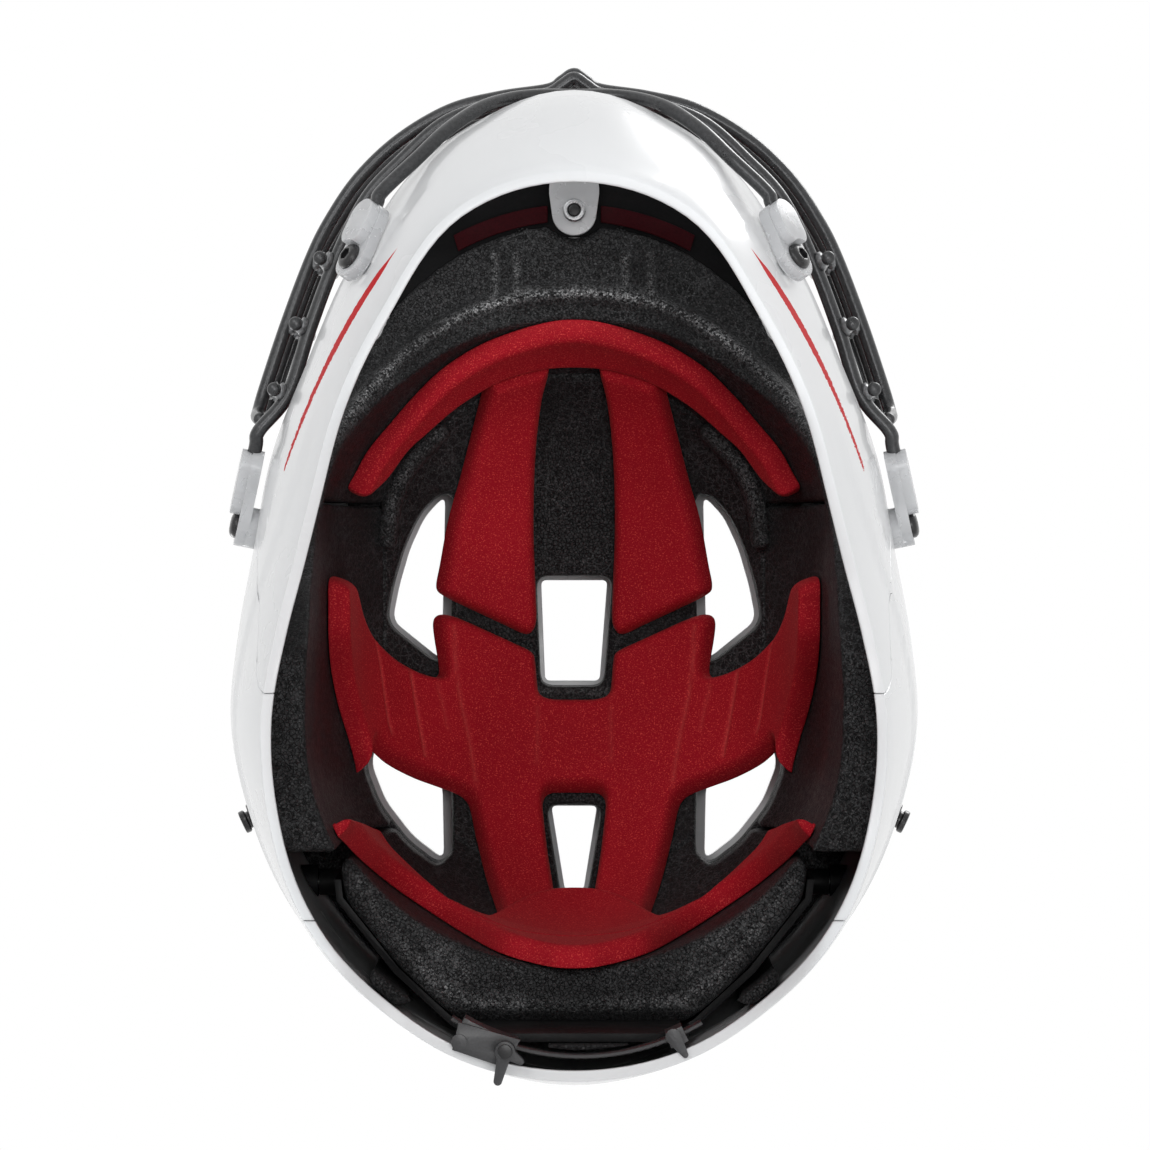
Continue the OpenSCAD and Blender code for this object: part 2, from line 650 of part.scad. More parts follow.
TOP_HALF = [
  [0, -170, 172], [9, -169.6, 172], [26, -166.4, 172], [43.4, -160, 172], [61, -150, 172],
  [75, -137, 172], [85, -123, 172], each outer_run([172, 172, 172]), [109.5, -57, 172],
];

WIRE_STEPS = 2;
module bar(half) color("#3a3b3d") wire(smooth_line(both_sides(half), WIRE_STEPS));
module lower_bar() bar(LOWER_HALF);
module main_bar() bar(MAIN_HALF);
module middle_bar() bar(MIDDLE_HALF);
module upper_bar() bar(UPPER_HALF);
module top_bar() bar(TOP_HALF);

module side_rods(side) {
  color("#3a3b3d") on_side(side) for (i = [0:2]) translate(lapped(i, 1, 88)) cylinder(d = wire_d, h = 88, $fn = 32);
}

module side_rods_left() side_rods("left");
module side_rods_right() side_rods("right");

// A clip: a foot under the screw, on a stand, and a sleeve round the wire's end
module clip(reach, stand) {
  bore_r = wire_d / 2 + wire_clearance;
  foot_z = seat_gap + stand;
  difference() {
    union() {
      translate([0, 0, seat_gap]) cylinder(r = clip_r, h = stand + 0.5, $fn = 32);
      hull() {
        translate([0, 0, foot_z]) cylinder(r = clip_r, h = clip_foot_t, $fn = 32);
        translate([reach, 0, foot_z]) cylinder(r = clip_r - 1, h = clip_foot_t, $fn = 32);
      }
      hull() {
        translate([9, 0, foot_z]) cylinder(r = clip_r - 1.4, h = clip_t, $fn = 32);
        translate([reach, 0, foot_z]) cylinder(r = clip_r - 1.4, h = clip_t, $fn = 32);
      }
    }
    translate([7.6, 0, stand + WIRE_LIFT]) rotate([0, 90, 0]) cylinder(r = bore_r, h = 40, $fn = 32);
    cylinder(r = screw_r + screw_clearance, h = 40, center = true, $fn = 32);
    translate([0, 0, foot_z + clip_foot_t]) cylinder(r = screw_head_r + 0.5, h = 20, $fn = 32);
  }
}

module chin_clip(side) color("#d9dcdf") on_side(side) at_chin_screw() clip(CHIN_REACH, 0);
module side_clip(side) color("#d9dcdf") on_side(side) at_side_screw() clip(SIDE_REACH, SIDE_STAND);
module chin_clip_left() chin_clip("left");
module chin_clip_right() chin_clip("right");
module side_clip_left() side_clip("left");
module side_clip_right() side_clip("right");

// A button-head screw standing on Z = 0 of its head's seat, and a flanged nut under the shell
module screw(length, shank_r = screw_r, head_r = screw_head_r) {
  difference() {
    union() {
      cylinder(r = head_r - 1, h = screw_head_h, $fn = 32);
      cylinder(r = head_r, h = screw_head_h * 0.6, $fn = 32);
      translate([0, 0, -length]) cylinder(r = shank_r, h = length, $fn = 32);
    }
    translate([0, 0, screw_head_h - 1.4]) cylinder(r = shank_r * 0.7, h = 2, $fn = 6);
  }
}

CHIN_NUT_DEPTH = wall + 2.9;
SIDE_NUT_DEPTH = wall + 1;
module nut(flange_r, hole_r) {
  difference() {
    cylinder(r = flange_r, h = nut_t, $fn = 32);
    translate([0, 0, -1]) cylinder(r = hole_r, h = nut_t + 2, $fn = 32);
  }
}

SCREW_SEAT = seat_gap + clip_foot_t + 0.05;
module clip_screws() {
  color("#151516") both() {
    at_chin_screw() translate([0, 0, SCREW_SEAT]) screw(SCREW_SEAT + CHIN_NUT_DEPTH + nut_t);
    at_side_screw() translate([0, 0, SIDE_STAND + SCREW_SEAT]) screw(SIDE_STAND + SCREW_SEAT + SIDE_NUT_DEPTH + nut_t);
  }
}

module clip_nuts() {
  color("#d9dcdf") both() {
    at_chin_screw() translate([0, 0, -CHIN_NUT_DEPTH - nut_t]) nut(nut_r, screw_r + screw_clearance);
    at_side_screw() translate([0, 0, -SIDE_NUT_DEPTH - nut_t]) nut(nut_r, screw_r + screw_clearance);
  }
}

// The brow clip runs forward under the visor to the top bar
BROW_SCREW = [0, -131.4, VISOR_TOP];
CLIP_TAB_R = 9;
BROW_CLIP_TOP = VISOR_TOP - visor_t - 2.6;
BROW_CLIP_T = 4;
NOSE_TIP = [0, -177, 172];
module brow_clip() {
  tab_z = BROW_CLIP_TOP - BROW_CLIP_T;
  top_y = TOP_HALF[0][1];
  color("#c4c8cc") difference() {
    union() {
      hull() {
        translate([0, BROW_SCREW[1] + 1, tab_z]) cylinder(r = CLIP_TAB_R - 1, h = BROW_CLIP_T, $fn = 32);
        translate([-CLIP_TAB_R, BROW_SCREW[1] - 8, tab_z]) cube([2 * CLIP_TAB_R, 2, BROW_CLIP_T]);
        translate([-6, top_y + 3, tab_z]) cube([12, 1, BROW_CLIP_T]);
      }
      hull() {
        translate([-9, top_y + 4, 167.4]) cube([18, 4, BROW_CLIP_TOP - 167.4]);
        translate([0, NOSE_TIP[1] + 2.4, 167.4]) cylinder(r = 2.4, h = BROW_CLIP_TOP - 167.4, $fn = 32);
      }
    }
    translate([0, 0, TOP_HALF[0][2]]) translate([0, top_y, 0]) rotate([0, 90, 0])
      cylinder(r = wire_d / 2 + wire_clearance + 0.2, h = 40, center = true, $fn = 32);
    translate([0, BROW_SCREW[1], 0]) cylinder(r = brow_screw_r + screw_clearance, h = FAR, $fn = 32);
  }
}

module brow_screw() {
  length = BROW_SCREW[2] - BROW_CLIP_TOP + BROW_CLIP_T + nut_t;
  color("#151516") translate(BROW_SCREW + [0, 0, 0.05]) screw(length, brow_screw_r, brow_head_r);
}

module brow_nut() {
  color("#a9abad") translate([0, BROW_SCREW[1], BROW_CLIP_TOP - BROW_CLIP_T - nut_t - 0.05])
    nut(brow_head_r, brow_screw_r + screw_clearance);
}

STUD_BACK = wall + 1.2;
module snap_stud(side) {
  color("#1b1b1c") on_side(side) at_stud() translate([0, 0, seat_gap]) difference() {
    union() {
      cylinder(r = stud_flange_r, h = 1.3, $fn = 48);
      cylinder(r = stud_neck_r, h = 2.8, $fn = 48);
      translate([0, 0, 2.6]) cylinder(r = stud_head_r, h = stud_head_h, $fn = 48);
      translate([0, 0, 0.1 - seat_gap - STUD_BACK]) cylinder(r = stud_neck_r - 1, h = STUD_BACK + seat_gap, $fn = 32);
    }
    translate([0, 0, 1.8 + stud_head_h]) cylinder(r = stud_head_r - 2, h = 2, $fn = 32);
  }
}

module snap_stud_left() snap_stud("left");
module snap_stud_right() snap_stud("right");

module stud_backs() {
  color("#a9abad") both() at_stud() translate([0, 0, -STUD_BACK - 1]) cylinder(r = stud_flange_r, h = 1, $fn = 32);
}

// The plastic carrier behind the foam, with an arm to a pivot on each side and a tongue to the strap
CARRIER_LOW = 66;
CARRIER_H = 76;
CARRIER_SIDE_LOW = FOAM_LOW + 5;
TONGUE_W = 72;
TONGUE_BACK = FOAM_BACK + 0.7;
PIVOT_IN = 82;
PIVOT_OUT = 89.6;
BARREL_R = 4.6;
module nape_carrier() {
  tongue_low = GUIDE_TOP + seat_gap;
  color("#2b2c2e") difference() {
    union() {
      translate([0, 0, CARRIER_LOW]) linear_extrude(CARRIER_H) difference() {
        intersection() {
          offset(delta = pad_gap + carrier_t) polygon(FOAM_PLAN);
          translate([-FAR, 104]) square([2 * FAR, FAR]);
        }
        offset(delta = pad_gap) polygon(FOAM_PLAN);
      }
      translate([-TONGUE_W / 2, TONGUE_BACK - carrier_t - 0.4, tongue_low])
        cube([TONGUE_W, carrier_t + 0.4, FOAM_LOW - 0.6 - tongue_low]);
      for (side = [-1, 1]) {
        translate([0, 0, PIVOT_AT[2] - 4]) linear_extrude(8) polygon([
          [side * 80, 105.5], [side * (PIVOT_IN + 1), 105.5], [side * (PIVOT_IN + 1), 110.5], [side * 79.7, 110.5],
        ]);
        translate([side * (PIVOT_IN + PIVOT_OUT) / 2, PIVOT_AT[1], PIVOT_AT[2]]) rotate([0, 90, 0])
          cylinder(r = BARREL_R, h = PIVOT_OUT - PIVOT_IN, center = true, $fn = 32);
      }
    }
    translate(PIVOT_AT) rotate([0, 90, 0]) cylinder(r = pivot_r + pivot_clearance, h = 2 * FAR, center = true, $fn = 32);
    both() translate([TONGUE_W / 2 + 3, 0, 0]) cube([FAR, FAR, CARRIER_SIDE_LOW]);
  }
}

module nape_anchors() {
  color("#2b2c2e") moulded() difference() {
    intersection() {
      shell_form(wall + seat_gap, -2);
      both() translate([PIVOT_OUT + 0.4, PIVOT_AT[1], PIVOT_AT[2]]) rotate([0, 90, 0]) cylinder(r = 6, h = 20, $fn = 24);
    }
    both() translate([PIVOT_OUT, PIVOT_AT[1], PIVOT_AT[2]]) rotate([0, 90, 0]) cylinder(r = pivot_r + 0.1, h = 2.6, $fn = 24);
  }
}

module pivot_pins() {
  color("#a9abad") both() {
    translate([PIVOT_IN - 1, PIVOT_AT[1], PIVOT_AT[2]]) rotate([0, 90, 0]) cylinder(r = pivot_r, h = 10, $fn = 32);
  }
}

// The ladder strap is an arc about an upright axis, with teeth on its outer face
STRAP_FROM = -33;
STRAP_TO = 31;
TOOTH_T = 0.35;
module strap_arc(from, to, r0, r1, z, h) {
  translate([STRAP_CENTRE[0], STRAP_CENTRE[1], z]) rotate([0, 0, 90 - to])
    rotate_extrude(angle = to - from, $fn = 180) translate([r0, 0]) square([r1 - r0, h]);
}

module ladder_strap() {
  teeth = floor((STRAP_TO - STRAP_FROM) * PI / 180 * STRAP_R / tooth_pitch) - 1;
  pitch_angle = tooth_pitch / STRAP_R * 180 / PI;
  color("#1d1d1f") {
    strap_arc(STRAP_FROM, STRAP_TO, STRAP_R - strap_t / 2, STRAP_R + strap_t / 2, STRAP_Z, strap_w);
    for (i = [1:teeth]) let (a = STRAP_FROM + i * pitch_angle)
      strap_arc(a, a + 0.8, STRAP_R, STRAP_R + strap_t / 2 + TOOTH_T, STRAP_Z + 2, strap_w - 4);
  }
}

// A foam cushion between the carrier's tongue and the strap
module nape_cushion() {
  color("#262628") difference() {
    strap_arc(-8, 16, STRAP_R - 8, STRAP_R - strap_t / 2 - 0.9, STRAP_Z + 6, 40);
    translate([-FAR, 0, 0]) cube([2 * FAR, TONGUE_BACK + pad_gap, FAR]);
  }
}

// A guide round the strap, hung under the carrier's tongue
module strap_guide(angle, width, cheek) {
  half = width / STRAP_R * 90 / PI;
  inner = STRAP_R - strap_t / 2 - strap_clearance;
  outer = STRAP_R + strap_t / 2 + TOOTH_T + strap_clearance;
  difference() {
    union() {
      strap_arc(angle - half, angle + half, inner - cheek, outer + cheek, LATCH_TOP, GUIDE_TOP - LATCH_TOP);
      children();
    }
    strap_arc(angle - half - 3, angle + half + 3, inner, outer, STRAP_Z - strap_clearance, strap_w + 2 * strap_clearance);
  }
}

// Under its guide the latch has a flat plate, and the keeper a hooked spur
module latch_body() {
  color("#4a4c4e") difference() {
    strap_guide(LATCH_ANGLE, 20, 1.6) {
      translate([0, 0, LATCH_TOP - LATCH_T]) linear_extrude(LATCH_T + 0.5)
        polygon([[-37.7, 146.2], [-17.5, 152], [-24, 160.6], [-39.9, 155.2]]);
      translate([-37.6, 152.6, LATCH_TOP - LATCH_T - 1.2]) cylinder(r = 2.6, h = LATCH_T, $fn = 32);
    }
    at_lever() cylinder(r = LEVER_PIN_R + pivot_clearance, h = 2 * PIN_REACH + 2, center = true, $fn = 32);
  }
}

module strap_keeper() {
  color("#2b2c2e") strap_guide(KEEPER_ANGLE, 6, 1.4) hull() {
    translate([32.5, 151, LATCH_TOP - 1.2]) cylinder(r = 2.6, h = 1.6, $fn = 32);
    translate([36.4, 157, LATCH_TOP - 1.2]) cylinder(r = 1, h = 1.6, $fn = 32);
  }
}

// The lever lies under the latch's plate and turns on an upright pin
LEVER_PIN_AT = [-22.5, 155.4];
LEVER_TIP = [-2.4, 9.8];
LEVER_SPUR = [5, 3.2];
LEVER_T = 3.2;
LEVER_PIN_R = 1.2;
PIN_HEAD_T = 1.2;
PIN_REACH = STRAP_Z - strap_clearance - 0.1 - (LATCH_TOP - LATCH_T - seat_gap - LEVER_T);
module at_lever() {
  translate([LEVER_PIN_AT[0], LEVER_PIN_AT[1], LATCH_TOP - LATCH_T - seat_gap - LEVER_T]) children();
}

module latch_lever() {
  color("#4a4c4e") at_lever() difference() {
    union() {
      cylinder(r = 3.4, h = LEVER_T, $fn = 32);
      hull() {
        cylinder(r = 2.4, h = LEVER_T, $fn = 32);
        translate(LEVER_TIP) cylinder(r = 1.4, h = LEVER_T, $fn = 32);
      }
      hull() {
        cylinder(r = 2.4, h = LEVER_T, $fn = 32);
        translate(LEVER_SPUR) cylinder(r = 1.2, h = LEVER_T, $fn = 32);
      }
    }
    cylinder(r = LEVER_PIN_R + pivot_clearance, h = 3 * LEVER_T, center = true, $fn = 32);
  }
}

module lever_pin() {
  color("#a9abad") at_lever() {
    translate([0, 0, -seat_gap - PIN_HEAD_T / 2]) cylinder(r = LEVER_PIN_R, h = PIN_REACH + seat_gap + PIN_HEAD_T / 2, $fn = 32);
    translate([0, 0, -seat_gap - PIN_HEAD_T]) cylinder(r = 2.4, h = PIN_HEAD_T, $fn = 32);
  }
}

crown_shell();
rear_shell();
chin_guard();
visor();
brow_trim();
brow_liner();
crown_liner();
rear_liner();
side_liner_left();
side_liner_right();
nape_foam();
front_pad();
crown_pad_left();
crown_pad_right();
centre_pad();
side_pad_left();
side_pad_right();
nape_pad();
lower_bar();
main_bar();
middle_bar();
upper_bar();
top_bar();
side_rods_left();
side_rods_right();
brow_clip();
chin_clip_left();
chin_clip_right();
side_clip_left();
side_clip_right();
clip_screws();
clip_nuts();
brow_screw();
brow_nut();
snap_stud_left();
snap_stud_right();
stud_backs();
nape_carrier();
nape_anchors();
pivot_pins();
nape_cushion();
ladder_strap();
latch_body();
latch_lever();
lever_pin();
strap_keeper();
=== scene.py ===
"""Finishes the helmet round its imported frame: shells, foam, pads, wire guard, clips and adjuster."""
import json
import math

import bmesh
import bpy
import numpy as np
from mathutils import Matrix, Vector
from mathutils.geometry import delaunay_2d_cdt

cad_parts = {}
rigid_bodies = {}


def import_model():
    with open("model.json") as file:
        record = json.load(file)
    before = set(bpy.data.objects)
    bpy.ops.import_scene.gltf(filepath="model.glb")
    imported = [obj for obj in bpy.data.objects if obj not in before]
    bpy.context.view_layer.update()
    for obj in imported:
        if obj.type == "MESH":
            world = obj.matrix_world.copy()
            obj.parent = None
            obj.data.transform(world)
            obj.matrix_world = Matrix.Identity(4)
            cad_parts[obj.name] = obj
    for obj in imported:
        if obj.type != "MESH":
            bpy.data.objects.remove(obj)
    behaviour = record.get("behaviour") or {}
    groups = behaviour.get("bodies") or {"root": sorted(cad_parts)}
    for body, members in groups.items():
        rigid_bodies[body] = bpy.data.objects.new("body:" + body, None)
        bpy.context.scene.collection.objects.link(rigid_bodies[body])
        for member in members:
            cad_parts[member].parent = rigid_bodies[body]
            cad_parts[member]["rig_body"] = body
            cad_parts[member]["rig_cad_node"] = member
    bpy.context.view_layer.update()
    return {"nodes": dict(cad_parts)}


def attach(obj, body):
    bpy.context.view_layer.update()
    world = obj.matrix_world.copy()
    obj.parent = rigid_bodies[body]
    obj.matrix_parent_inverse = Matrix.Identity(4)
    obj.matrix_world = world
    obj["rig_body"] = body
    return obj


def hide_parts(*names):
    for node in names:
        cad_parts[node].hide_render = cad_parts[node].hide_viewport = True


bl_info = {
    "name": "Field Helmet Builder",
    "version": (1, 0, 0),
    "blender": (4, 5, 0),
    "location": "View3D > Sidebar > Helmet",
    "description": "Builds the shells, foam liner, pads, wire guard and rear adjuster of a field helmet",
    "category": "Add Mesh",
}

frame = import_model()

MM = 0.001
SIDES = (1, -1)
SIDE_WORDS = ((1, "left"), (-1, "right"))

# Radii every STEP degrees from the front to the back: bottom rim, guard and crown at the belt, head space
STEP = 15
RIM_R = (151, 144.5, 123.5, 108.5, 98, 94.5, 97.5, 105.5, 115, 126.5, 136, 143.6, 145.8)
GUARD_R = (185, 172, 149, 130, 120, 113.5, 115, 121.5, 127, 134, 142, 149, 154)
CROWN_R = (156, 152, 141, 130, 120, 113.5, 115, 121.5, 127, 134, 142, 149, 154)
CAVITY_R = (118, 117.5, 113, 107, 100, 91, 88, 92, 100, 107, 111, 112.5, 114)

# Heights, walls and gaps, and the powers of the rounded forms
MIDDLE_Y, SHELL_H, BELT_Z, WALL = 20.0, 272.0, 110.0, 3.5
RIM_ARCH, REAR_ARCH, BROW_Z, GUARD_TOP = 8.0, 14.0, 186.0, 66.0
CROWN_N, CAVITY_N, FLARE = 2.4, 3.0, 0.85
CAVITY_H, FOAM_GAP, SEAM_GAP = 238.0, 0.4, 0.5
VISOR_THICK, VISOR_REACH, VISOR_DROOP, VISOR_HALF, BROW_INSET = 3.4, 29.0, 2.5, 50.0, 2.6

# Outlines seen from the side, as Y and Z, that cut the shells and the foam apart
FAR = 260.0
GUARD_SIDE = (
    (-FAR, -20), (-FAR, 66), (-151.3, 66), (-128.7, 61), (-104.3, 60.7), (-84.2, 67), (-62.4, 80),
    (-44.3, 92), (-30.6, 96), (-20, 88), (-6, 60), (14, 34), (36, 20), (44, -20),
)
FACE_SIDE = (
    (-FAR, 0), (-FAR, 186), (-112, 186), (-92, 182), (-70, 171), (-52, 150), (-40, 122), (-29, 97), (-29, 0),
)
NAPE_SIDE = ((112, -20), (112, 5), (118, 40), (130, 72), (146, 92), (162, 98), (FAR, 98), (FAR, -20))
BROW_FOAM_SIDE = (
    (-FAR, 181), (-97, 179.5), (-72, 168), (-54, 147), (-44, 126), (-26, 122), (-26, 213), (-FAR, 213),
)
SIDE_FOAM_SIDE = ((-25.4, 122), (-14, 84), (6, 50), (26, 32), (92, 32), (92, 213), (-25.4, 213))
REAR_FOAM_SIDE = ((92.6, 152), (FAR, 152), (FAR, 213), (92.6, 213))
CROWN_FOAM_SIDE = ((-FAR, 213), (FAR, 213), (FAR, 310), (-FAR, 310))

# Vents seen from above, as X and Y, the side ones on the left
FRONT_VENT = ((-12.5, 2), (12.5, 2), (9.6, 40), (-11, 40))
REAR_VENT = ((-8.6, 87), (8.6, 87), (3.4, 118), (-3.4, 118))
FRONT_SIDE_VENT = ((48.5, -30), (56, -22), (61.5, -10), (65.5, 4), (68, 17), (50, 32))
REAR_SIDE_VENT = ((73.5, 62), (75.5, 70), (70, 84), (60, 97), (48.5, 106), (49.5, 78))

# Seats of the fasteners on the left side: a point, the way out of it and the way along its clip
CHIN_SCREW, CHIN_OUT = (71.1181, -103.18, 34.6), (0.712068, -0.491427, -0.501456)
CHIN_ALONG = (-0.382693, -0.87045, 0.309618)
SIDE_SCREW, SIDE_OUT = (108.545, -15.6878, 99.0), (0.973929, -0.202902, -0.101451)
SIDE_ALONG = (-0.219877, -0.954365, -0.202093)
STUD_AT, STUD_OUT = (110.125, 83.5809, 104.0), (0.904534, 0.422116, -0.0603023)
BROW_SCREW = (0.0, -131.4, 185.6)

# The view from below: its height under the rim, the size of a pixel at the rim, the helmet's middle in pixels
EYE_DROP, PIXEL, MIDDLE_PX, PICTURE_PX = 1600.0, 0.3246, (574.0, 575.0), 1150

# The guard's wires, from the middle to the left end
WIRES = {
    "lower_bar": (
        (0, -163, 77), (12, -163, 77), (22, -161.5, 73), (32, -157.5, 65), (43, -149, 54), (52.5, -139, 45.5),
        (63.874, -127.679, 40.744), (65.787, -123.327, 39.196), (70.762, -112.011, 35.171),
    ),
    "main_bar": (
        (0, -171, 98), (4, -168.6, 98), (9, -165.6, 98), (20, -164, 98), (43, -156.6, 97), (60, -142, 96),
        (72, -128.5, 95), (82.4, -107, 94), (90.8, -84.5, 93), (98.2, -62, 92.4), (108.08, -49.6, 91.4),
        (109.4, -43.87, 92.61), (113.36, -26.69, 96.25),
    ),
    "middle_bar": (
        (0, -175, 124), (4, -172.6, 124), (9, -169.6, 124), (26, -167, 124), (43.4, -162.4, 123.5),
        (61, -152, 123), (75, -138.6, 122), (85, -123.8, 121), (91.64, -110.26, 120), (100.04, -87.76, 118.5),
        (107.44, -65.26, 117), (109.6, -57, 114), (109.6, -54.8, 107), (108.2, -53.6, 100),
    ),
    "upper_bar": (
        (0, -173.6, 148), (4, -171.2, 148), (9, -168.2, 148), (26, -165.6, 148), (43.4, -161, 148),
        (61, -151, 148), (75, -138, 148), (85, -123.4, 148), (91.64, -110.26, 148), (100.04, -87.76, 148),
        (107.44, -65.26, 148), (109.5, -57, 148),
    ),
    "top_bar": (
        (0, -170, 172), (9, -169.6, 172), (26, -166.4, 172), (43.4, -160, 172), (61, -150, 172),
        (75, -137, 172), (85, -123, 172), (91.64, -110.26, 172), (100.04, -87.76, 172),
        (107.44, -65.26, 172), (109.5, -57, 172),
    ),
}
ROD_AT = ((87.02, -108.63), (95.42, -86.13), (102.82, -63.63))


# ---------------------------------------------------------------- sizes and colours

def length(name, text, value, low, high):
    """A size in metres for the panel."""
    return bpy.props.FloatProperty(
        name=name, description=text, default=value, min=low, max=high, subtype="DISTANCE", unit="LENGTH")


def colour(name, text, value):
    """A colour for the panel."""
    return bpy.props.FloatVectorProperty(
        name=name, description=text, default=value, size=3, min=0, max=1, subtype="COLOR")


class HelmetSettings(bpy.types.PropertyGroup):
    """Sizes and colours that a user would change"""
    rim_round: length("Rim rounding", "Radius of the rounded bottom rim", 0.0006, 0.0002, 0.0015)
    body_line: length("Body line", "How far the side stands proud above its moulded line", 0.0009, 0.0, 0.002)
    foam_voxel: length("Foam detail", "Grid size of the moulded foam", 0.0013, 0.001, 0.003)
    foam_soften: bpy.props.IntProperty(
        name="Foam softening", description="How much the foam's edges are rounded", default=9, min=2, max=40)
    pad_height: length("Pad height", "Thickness of the comfort pads", 0.0078, 0.005, 0.009)
    line_depth: length("Line depth", "Depth of the pressed lines in the pads", 0.0011, 0.0, 0.002)
    pad_swell: length("Pad swell", "Most that a pad's face may swell", 0.0011, 0.0, 0.003)
    wire_width: length("Wire diameter", "Diameter of the guard's wires", 0.0048, 0.004, 0.006)
    tooth_pitch: length("Tooth pitch", "Distance between the ladder strap's teeth", 0.003, 0.002, 0.005)
    shell_colour: colour("Shell", "Colour of the hard shells", (0.80, 0.81, 0.82))
    stripe_colour: colour("Stripe", "Colour of the painted stripes", (0.55, 0.002, 0.007))
    pad_colour: colour("Pads", "Colour of the comfort pads", (0.54, 0.012, 0.026))
    foam_colour: colour("Foam", "Colour of the foam liner", (0.0165, 0.0165, 0.0172))
    wire_colour: colour("Wire", "Colour of the coated wires", (0.05, 0.051, 0.053))


def settings():
    return bpy.context.scene.helmet_settings


# ---------------------------------------------------------------- the helmet's own curves

def smooth(t):
    """A ramp from 0 to 1 with soft ends."""
    s = np.clip(t, 0, 1)
    return s * s * (3 - 2 * s)


def fold(a):
    """An angle from the front as 0 to 180 degrees, the same on both sides."""
    b = np.mod(a, 360.0)
    return np.where(b > 180, 360 - b, b)


def spline(p0, p1, p2, p3, t):
    return 0.5 * (2 * p1 + (p2 - p0) * t + (2 * p0 - 5 * p1 + 4 * p2 - p3) * t * t
                  + (3 * p1 - 3 * p2 + p3 - p0) * t ** 3)


def at(table, a):
    """A value of a table at any angle from the front, the same on both sides."""
    t = np.asarray(table, float)
    last = len(t) - 1
    s = fold(a) / STEP
    i = np.minimum(np.floor(s).astype(int), last - 1)
    after = np.where(i + 2 > last, 2 * last - i - 2, i + 2)
    return spline(t[np.abs(i - 1)], t[i], t[i + 1], t[after], s - i)


def rim_z(a):
    """The bottom rim's height: flat in front, arched beside the jaw and at the nape."""
    f = fold(a)
    return (RIM_ARCH * smooth((f - 40) / 40) * smooth((128 - f) / 35)
            + REAR_ARCH * smooth((f - 140) / 17.5))


def around(a, r, z):
    """A point at an angle from the front, a radius from the helmet's middle and a height."""
    a, r, z = np.broadcast_arrays(np.asarray(a, float), r, z)
    b = np.radians(a)
    return np.stack([r * np.sin(b), MIDDLE_Y - r * np.cos(b), z], axis=-1)


def guard_belt(a):
    """The height that the chin guard's wall rises to: low in front, and the belt at the sides."""
    return GUARD_TOP + 8 + (BELT_Z - GUARD_TOP - 8) * smooth((fold(a) - 20) / 40)


def skirt(table, belt, a, v, inset, proud=0.0):
    """The wall below the belt: v runs from 0 at the rim to 1 at the belt."""
    low, high = at(RIM_R, a), at(table, a)
    z0 = rim_z(a)
    r = low + (high - low) * np.sin(np.radians(90 * max(v, 0))) ** FLARE - inset + proud
    return around(a, r, z0 + (belt - z0) * v)


def dome(table, n, top, a, v, inset):
    """The form above the belt: v runs from 1 at the belt to 2 at the top."""
    s = math.radians((v - 1) * 90)
    return around(a, (at(table, a) - inset) * math.cos(s) ** (2 / n),
                  BELT_Z + (top - inset - BELT_Z) * math.sin(s) ** (2 / n))


def on_cavity_plan(p, d):
    """A point on the head space over a place in plan, d inside its face."""
    a = math.degrees(math.atan2(p[0], MIDDLE_Y - p[1]))
    r = math.hypot(p[0], p[1] - MIDDLE_Y)
    s = math.degrees(math.acos(min(r / float(at(CAVITY_R, a)), 1) ** (CAVITY_N / 2)))
    return dome(CAVITY_R, CAVITY_N, CAVITY_H, a, 1 + s / 90, d)


def smooth_line(points, steps):
    """A curve through points, with a number of steps between each two."""
    p = [np.array(q, float) for q in points]
    q = [2 * p[0] - p[1], *p, 2 * p[-1] - p[-2]]
    line = [spline(q[i - 1], q[i], q[i + 1], q[i + 2], k / steps)
            for i in range(1, len(q) - 2) for k in range(steps)]
    return line + [p[-1]]


def eased(outline, reach):
    """An outline with its corners rounded by curves that start within reach of each corner."""
    p = [np.array(q, float) for q in outline]
    out = []
    for i, q in enumerate(p):
        back, ahead = p[i - 1] - q, p[(i + 1) % len(p)] - q
        lb, la = np.linalg.norm(back), np.linalg.norm(ahead)
        a = q + back / lb * min(reach, 0.45 * lb)
        b = q + ahead / la * min(reach, 0.45 * la)
        for t in (0, 0.25, 0.5, 0.75, 1):
            out.append((1 - t) ** 2 * a + 2 * t * (1 - t) * q + t * t * b)
    return out


def grown(outline, margin):
    """An outline moved out by a margin, whichever way it runs."""
    p = [np.array(q, float) for q in outline]
    area = sum(p[i - 1][0] * q[1] - q[0] * p[i - 1][1] for i, q in enumerate(p))
    turn = 1 if area > 0 else -1
    out = []
    for i, q in enumerate(p):
        a, b = q - p[i - 1], p[(i + 1) % len(p)] - q
        na = np.array([a[1], -a[0]]) / max(np.linalg.norm(a), 1e-9)
        nb = np.array([b[1], -b[0]]) / max(np.linalg.norm(b), 1e-9)
        n = na + nb
        out.append(q + turn * margin * n * 2 / max(float(n @ n), 0.5))
    return out


# ---------------------------------------------------------------- meshes

def new_object(name, points, faces):
    """An object from points in mm."""
    mesh = bpy.data.meshes.new(name)
    mesh.from_pydata([tuple(float(c) * MM for c in p) for p in points], [], faces)
    mesh.update()
    obj = bpy.data.objects.new(name, mesh)
    bpy.context.scene.collection.objects.link(obj)
    return obj


def face_out(obj):
    """Joins points that meet and turns every face outward."""
    bm = bmesh.new()
    bm.from_mesh(obj.data)
    bmesh.ops.remove_doubles(bm, verts=bm.verts, dist=1e-7)
    bmesh.ops.recalc_face_normals(bm, faces=bm.faces)
    bm.to_mesh(obj.data)
    bm.free()
    return obj


